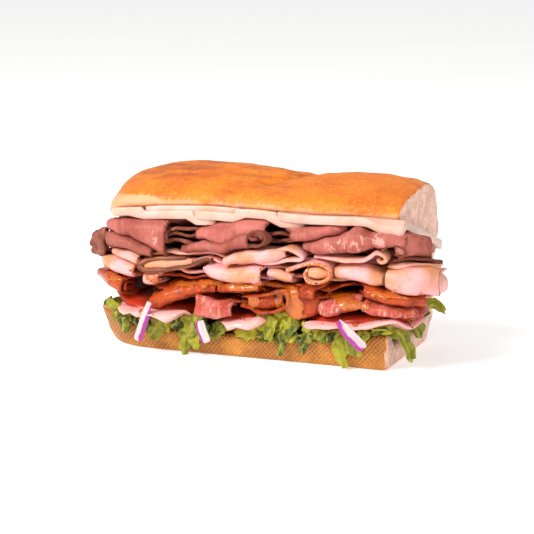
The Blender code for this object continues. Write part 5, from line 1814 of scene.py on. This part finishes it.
class SandwichSettings(bpy.types.PropertyGroup):
    """Colours and finenesses of the sandwich"""

    crust_color: tint("Crust", "Golden brown of the crust", (0.76, 0.19, 0.007))
    crust_dark: tint("Crust, darker", "Deeper golden brown in patches", (0.62, 0.12, 0.005))
    crust_pale: tint("Crust, paler", "Lighter specks on the crust", (0.88, 0.36, 0.05))
    crust_brown: tint("Crust, brown", "Brown streaks on top", (0.38, 0.075, 0.01))
    band_color: tint("Pale band", "Less baked band at the lid's edge", (0.74, 0.35, 0.19))
    tray_color: tint("Base crust", "Crust of the base", (0.44, 0.17, 0.03))
    tray_dark: tint("Base dimples", "Darker dimples of the base", (0.23, 0.07, 0.009))
    crumb_color: tint("Crumb", "Inside of the bread", (0.87, 0.59, 0.48))
    crumb_shade: tint("Crumb, shaded", "Shaded parts of the inside", (0.68, 0.41, 0.31))
    # painted shade in the small holes of the crumb
    crumb_hole_shade: tint("Crumb holes", "Small holes of the inside", (0.48, 0.26, 0.17))
    cheese_color: tint("Cheese", "Pale cheese", (0.68, 0.45, 0.385))
    cheese_shade: tint("Cheese, shaded", "Warmer parts of the cheese", (0.6, 0.35, 0.25))
    beef_color: tint("Roast beef", "Pink brown of the beef", (0.47, 0.138, 0.112))
    beef_brown: tint("Roast beef, browner", "Brown parts of the beef", (0.31, 0.07, 0.05))
    beef_pink: tint("Roast beef, pinker", "Pinker fibres of the beef", (0.64, 0.22, 0.195))
    beef_fat: tint("Marbling", "Fat lines in the beef", (0.8, 0.42, 0.34))
    # also the colour of the painted shade on the slices' dark faces
    beef_rim_and_shade: tint("Roasted rim", "Dark rim of the beef", (0.15, 0.042, 0.02))
    turkey_color: tint("Turkey", "Pale pink of the turkey", (0.8, 0.385, 0.395))
    # tan that stands for turkey in shade: painted shade on inner faces, and tan patches
    turkey_tan_and_shade: tint("Turkey, tan", "Tan parts of the turkey", (0.62, 0.25, 0.11))
    turkey_pale: tint("Turkey, paler", "Whiter fibres of the turkey", (0.88, 0.48, 0.5))
    turkey_rim: tint("Turkey rim", "Roasted rim of the turkey", (0.46, 0.12, 0.01))
    spiced_color: tint("Spiced sausage", "Orange red of the sausage", (0.5, 0.066, 0.005))
    spiced_dark: tint("Spiced sausage, darker", "Darker red parts", (0.29, 0.026, 0.004))
    spiced_oil: tint("Spiced oil", "Orange oily parts", (0.64, 0.11, 0.005))
    spiced_fat: tint("Spiced fat", "Small pale bits", (0.84, 0.36, 0.09))
    salami_color: tint("Salami", "Pink of the salami", (0.63, 0.165, 0.14))
    salami_dark: tint("Salami, darker", "Darker red of the salami", (0.46, 0.06, 0.04))
    salami_fat: tint("Salami fat", "White streaks of the salami", (0.86, 0.48, 0.42))
    tomato_color: tint("Tomato", "Red of the flesh", (0.54, 0.055, 0.016))
    tomato_dark: tint("Tomato, darker", "Deeper red of the flesh", (0.42, 0.036, 0.012))
    tomato_skin: tint("Tomato skin", "Red of the skin", (0.42, 0.028, 0.01))
    cream_color: tint("Mayonnaise", "White of the mayonnaise", (0.9, 0.42, 0.4))
    cream_warm: tint("Mayonnaise, warmer", "Warmer parts", (0.88, 0.4, 0.37))
    onion_color: tint("Onion", "White of the onion", (0.62, 0.5, 0.48))
    onion_tint: tint("Onion, tinted", "Faintly purple parts", (0.52, 0.38, 0.42))
    onion_skin: tint("Onion skin", "Purple of the edge", (0.32, 0.02, 0.24))
    leaf_light: tint("Lettuce", "Light yellow green", (0.34, 0.32, 0.012))
    # partly deeper green, partly the painted shade between shreds
    leaf_dark_and_shade: tint("Lettuce, darker", "Deeper green", (0.012, 0.035, 0.004))
    leaf_vein: tint("Lettuce veins", "Pale veins", (0.36, 0.36, 0.05))
    sauce_color: tint("Sauce", "Orange of the sauce", (0.62, 0.12, 0.005))
    sauce_light: tint("Sauce, lighter", "Yellower parts", (0.76, 0.2, 0.01))
    pepper_color: tint("Pepper", "Dark specks", (0.025, 0.015, 0.01))
    pepper_warm: tint("Pepper, browner", "Browner parts of the specks", (0.10, 0.05, 0.02))
    bread_detail: bpy.props.FloatProperty(
        name="Bread detail", description="Size of the cells of the bread's surface",
        default=0.00105, min=0.0008, max=0.003, precision=5, unit="LENGTH",
    )
    shred_count: bpy.props.IntProperty(
        name="Loose shreds", description="How many small shreds of lettuce lie between the large ones",
        default=24, min=0, max=200,
    )
    pepper_count: bpy.props.IntProperty(
        name="Pepper specks", description="How many specks of pepper lie on the sauce",
        default=60, min=1, max=400,
    )
    sauce_reach: bpy.props.FloatProperty(
        name="Sauce reach", description="Largest step in depth that the sauce runs across",
        default=0.006, min=0.0005, max=0.02, precision=4, unit="LENGTH",
    )
    seed: bpy.props.IntProperty(
        name="Seed", description="Starting point of the random draws", default=7, min=0,
    )


class SANDWICH_OT_bread(bpy.types.Operator):
    """Builds the split roll"""

    bl_idname = "sandwich.bread"
    bl_label = "Bread"

    def execute(self, context):
        look = context.scene.sandwich
        roll = bread_form(look)
        bread_relief(roll)
        finish_piece(roll, bread_material(look), "crust", "bread")
        return {"FINISHED"}


class SANDWICH_OT_cheese(bpy.types.Operator):
    """Builds the sheets of cheese"""

    bl_idname = "sandwich.cheese"
    bl_label = "Cheese"

    def execute(self, context):
        build_rows(CHEESE, cheese_sheet, "cheese", cheese_material(context.scene.sandwich))
        return {"FINISHED"}


class SANDWICH_OT_beef(bpy.types.Operator):
    """Builds the slices of roast beef"""

    bl_idname = "sandwich.beef"
    bl_label = "Roast beef"

    def execute(self, context):
        build_meat("beef", "beef", beef_material(context.scene.sandwich))
        return {"FINISHED"}


class SANDWICH_OT_turkey(bpy.types.Operator):
    """Builds the slices of turkey"""

    bl_idname = "sandwich.turkey"
    bl_label = "Turkey"

    def execute(self, context):
        build_meat("turkey", "turkey", turkey_material(context.scene.sandwich))
        return {"FINISHED"}


class SANDWICH_OT_spiced(bpy.types.Operator):
    """Builds the slices of spiced sausage and salami"""

    bl_idname = "sandwich.spiced"
    bl_label = "Spiced sausage"

    def execute(self, context):
        look = context.scene.sandwich
        red = spiced_material(look, "spiced_sausage", False)
        pink = spiced_material(look, "salami", True)
        build_meat("spiced", "spiced_sausage", red, pink)
        return {"FINISHED"}


class SANDWICH_OT_tomato(bpy.types.Operator):
    """Builds the slices of tomato"""

    bl_idname = "sandwich.tomato"
    bl_label = "Tomato"

    def execute(self, context):
        build_rows(TOMATOES, tomato_slice, "tomato", tomato_material(context.scene.sandwich))
        return {"FINISHED"}


class SANDWICH_OT_mayonnaise(bpy.types.Operator):
    """Builds the dollops of mayonnaise"""

    bl_idname = "sandwich.mayonnaise"
    bl_label = "Mayonnaise"

    def execute(self, context):
        build_rows(DOLLOPS, cream_dollop, "mayonnaise", cream_material(context.scene.sandwich))
        return {"FINISHED"}


class SANDWICH_OT_onion(bpy.types.Operator):
    """Builds the strips of onion"""

    bl_idname = "sandwich.onion"
    bl_label = "Onion"

    def execute(self, context):
        build_rows(ONIONS, onion_strip, "onion", onion_material(context.scene.sandwich))
        return {"FINISHED"}


class SANDWICH_OT_lettuce(bpy.types.Operator):
    """Builds the heap of shredded lettuce"""

    bl_idname = "sandwich.lettuce"
    bl_label = "Lettuce"

    def execute(self, context):
        look = context.scene.sandwich
        finish_piece(build_leaves(look), lettuce_material(look), "lettuce", "lettuce")
        return {"FINISHED"}


class SANDWICH_OT_seasoning(bpy.types.Operator):
    """Lays sauce and pepper over the fillings"""

    bl_idname = "sandwich.seasoning"
    bl_label = "Sauce and pepper"

    def execute(self, context):
        look = context.scene.sandwich
        tree = fillings()
        finish_piece(build_sauce(look, tree), sauce_material(look), "spiced_sausage")
        finish_piece(build_pepper(look, tree), pepper_material(look), "beef")
        return {"FINISHED"}


class SANDWICH_OT_stage(bpy.types.Operator):
    """Sets floor, light and camera"""

    bl_idname = "sandwich.stage"
    bl_label = "Stage"

    def execute(self, context):
        add_floor()
        for row in LIGHTS:
            add_light(*row)
        add_world(context.scene)
        add_camera(context.scene)
        return {"FINISHED"}


OPERATORS = (
    SANDWICH_OT_bread, SANDWICH_OT_cheese, SANDWICH_OT_beef, SANDWICH_OT_turkey, SANDWICH_OT_spiced,
    SANDWICH_OT_tomato, SANDWICH_OT_mayonnaise, SANDWICH_OT_onion, SANDWICH_OT_lettuce,
    SANDWICH_OT_seasoning, SANDWICH_OT_stage,
)


class SANDWICH_PT_panel(bpy.types.Panel):
    """Lists the steps and settings of the sandwich"""

    bl_idname = "SANDWICH_PT_panel"
    bl_label = "Sandwich"
    bl_space_type = "VIEW_3D"
    bl_region_type = "UI"
    bl_category = "Sandwich"

    def draw(self, context):
        for operator in OPERATORS:
            self.layout.operator(operator.bl_idname)
        for name in SandwichSettings.__annotations__:
            self.layout.prop(context.scene.sandwich, name)


def register():
    for cls in (SandwichSettings, *OPERATORS, SANDWICH_PT_panel):
        bpy.utils.register_class(cls)
    bpy.types.Scene.sandwich = bpy.props.PointerProperty(type=SandwichSettings)


def unregister():
    del bpy.types.Scene.sandwich
    for cls in (SANDWICH_PT_panel, *reversed(OPERATORS), SandwichSettings):
        bpy.utils.unregister_class(cls)


def main():
    register()
    bpy.ops.sandwich.bread()
    bpy.ops.sandwich.cheese()
    bpy.ops.sandwich.beef()
    bpy.ops.sandwich.turkey()
    bpy.ops.sandwich.spiced()
    bpy.ops.sandwich.tomato()
    bpy.ops.sandwich.mayonnaise()
    bpy.ops.sandwich.onion()
    bpy.ops.sandwich.lettuce()
    bpy.ops.sandwich.seasoning()
    bpy.ops.sandwich.stage()


if __name__ == "__main__":
    main()
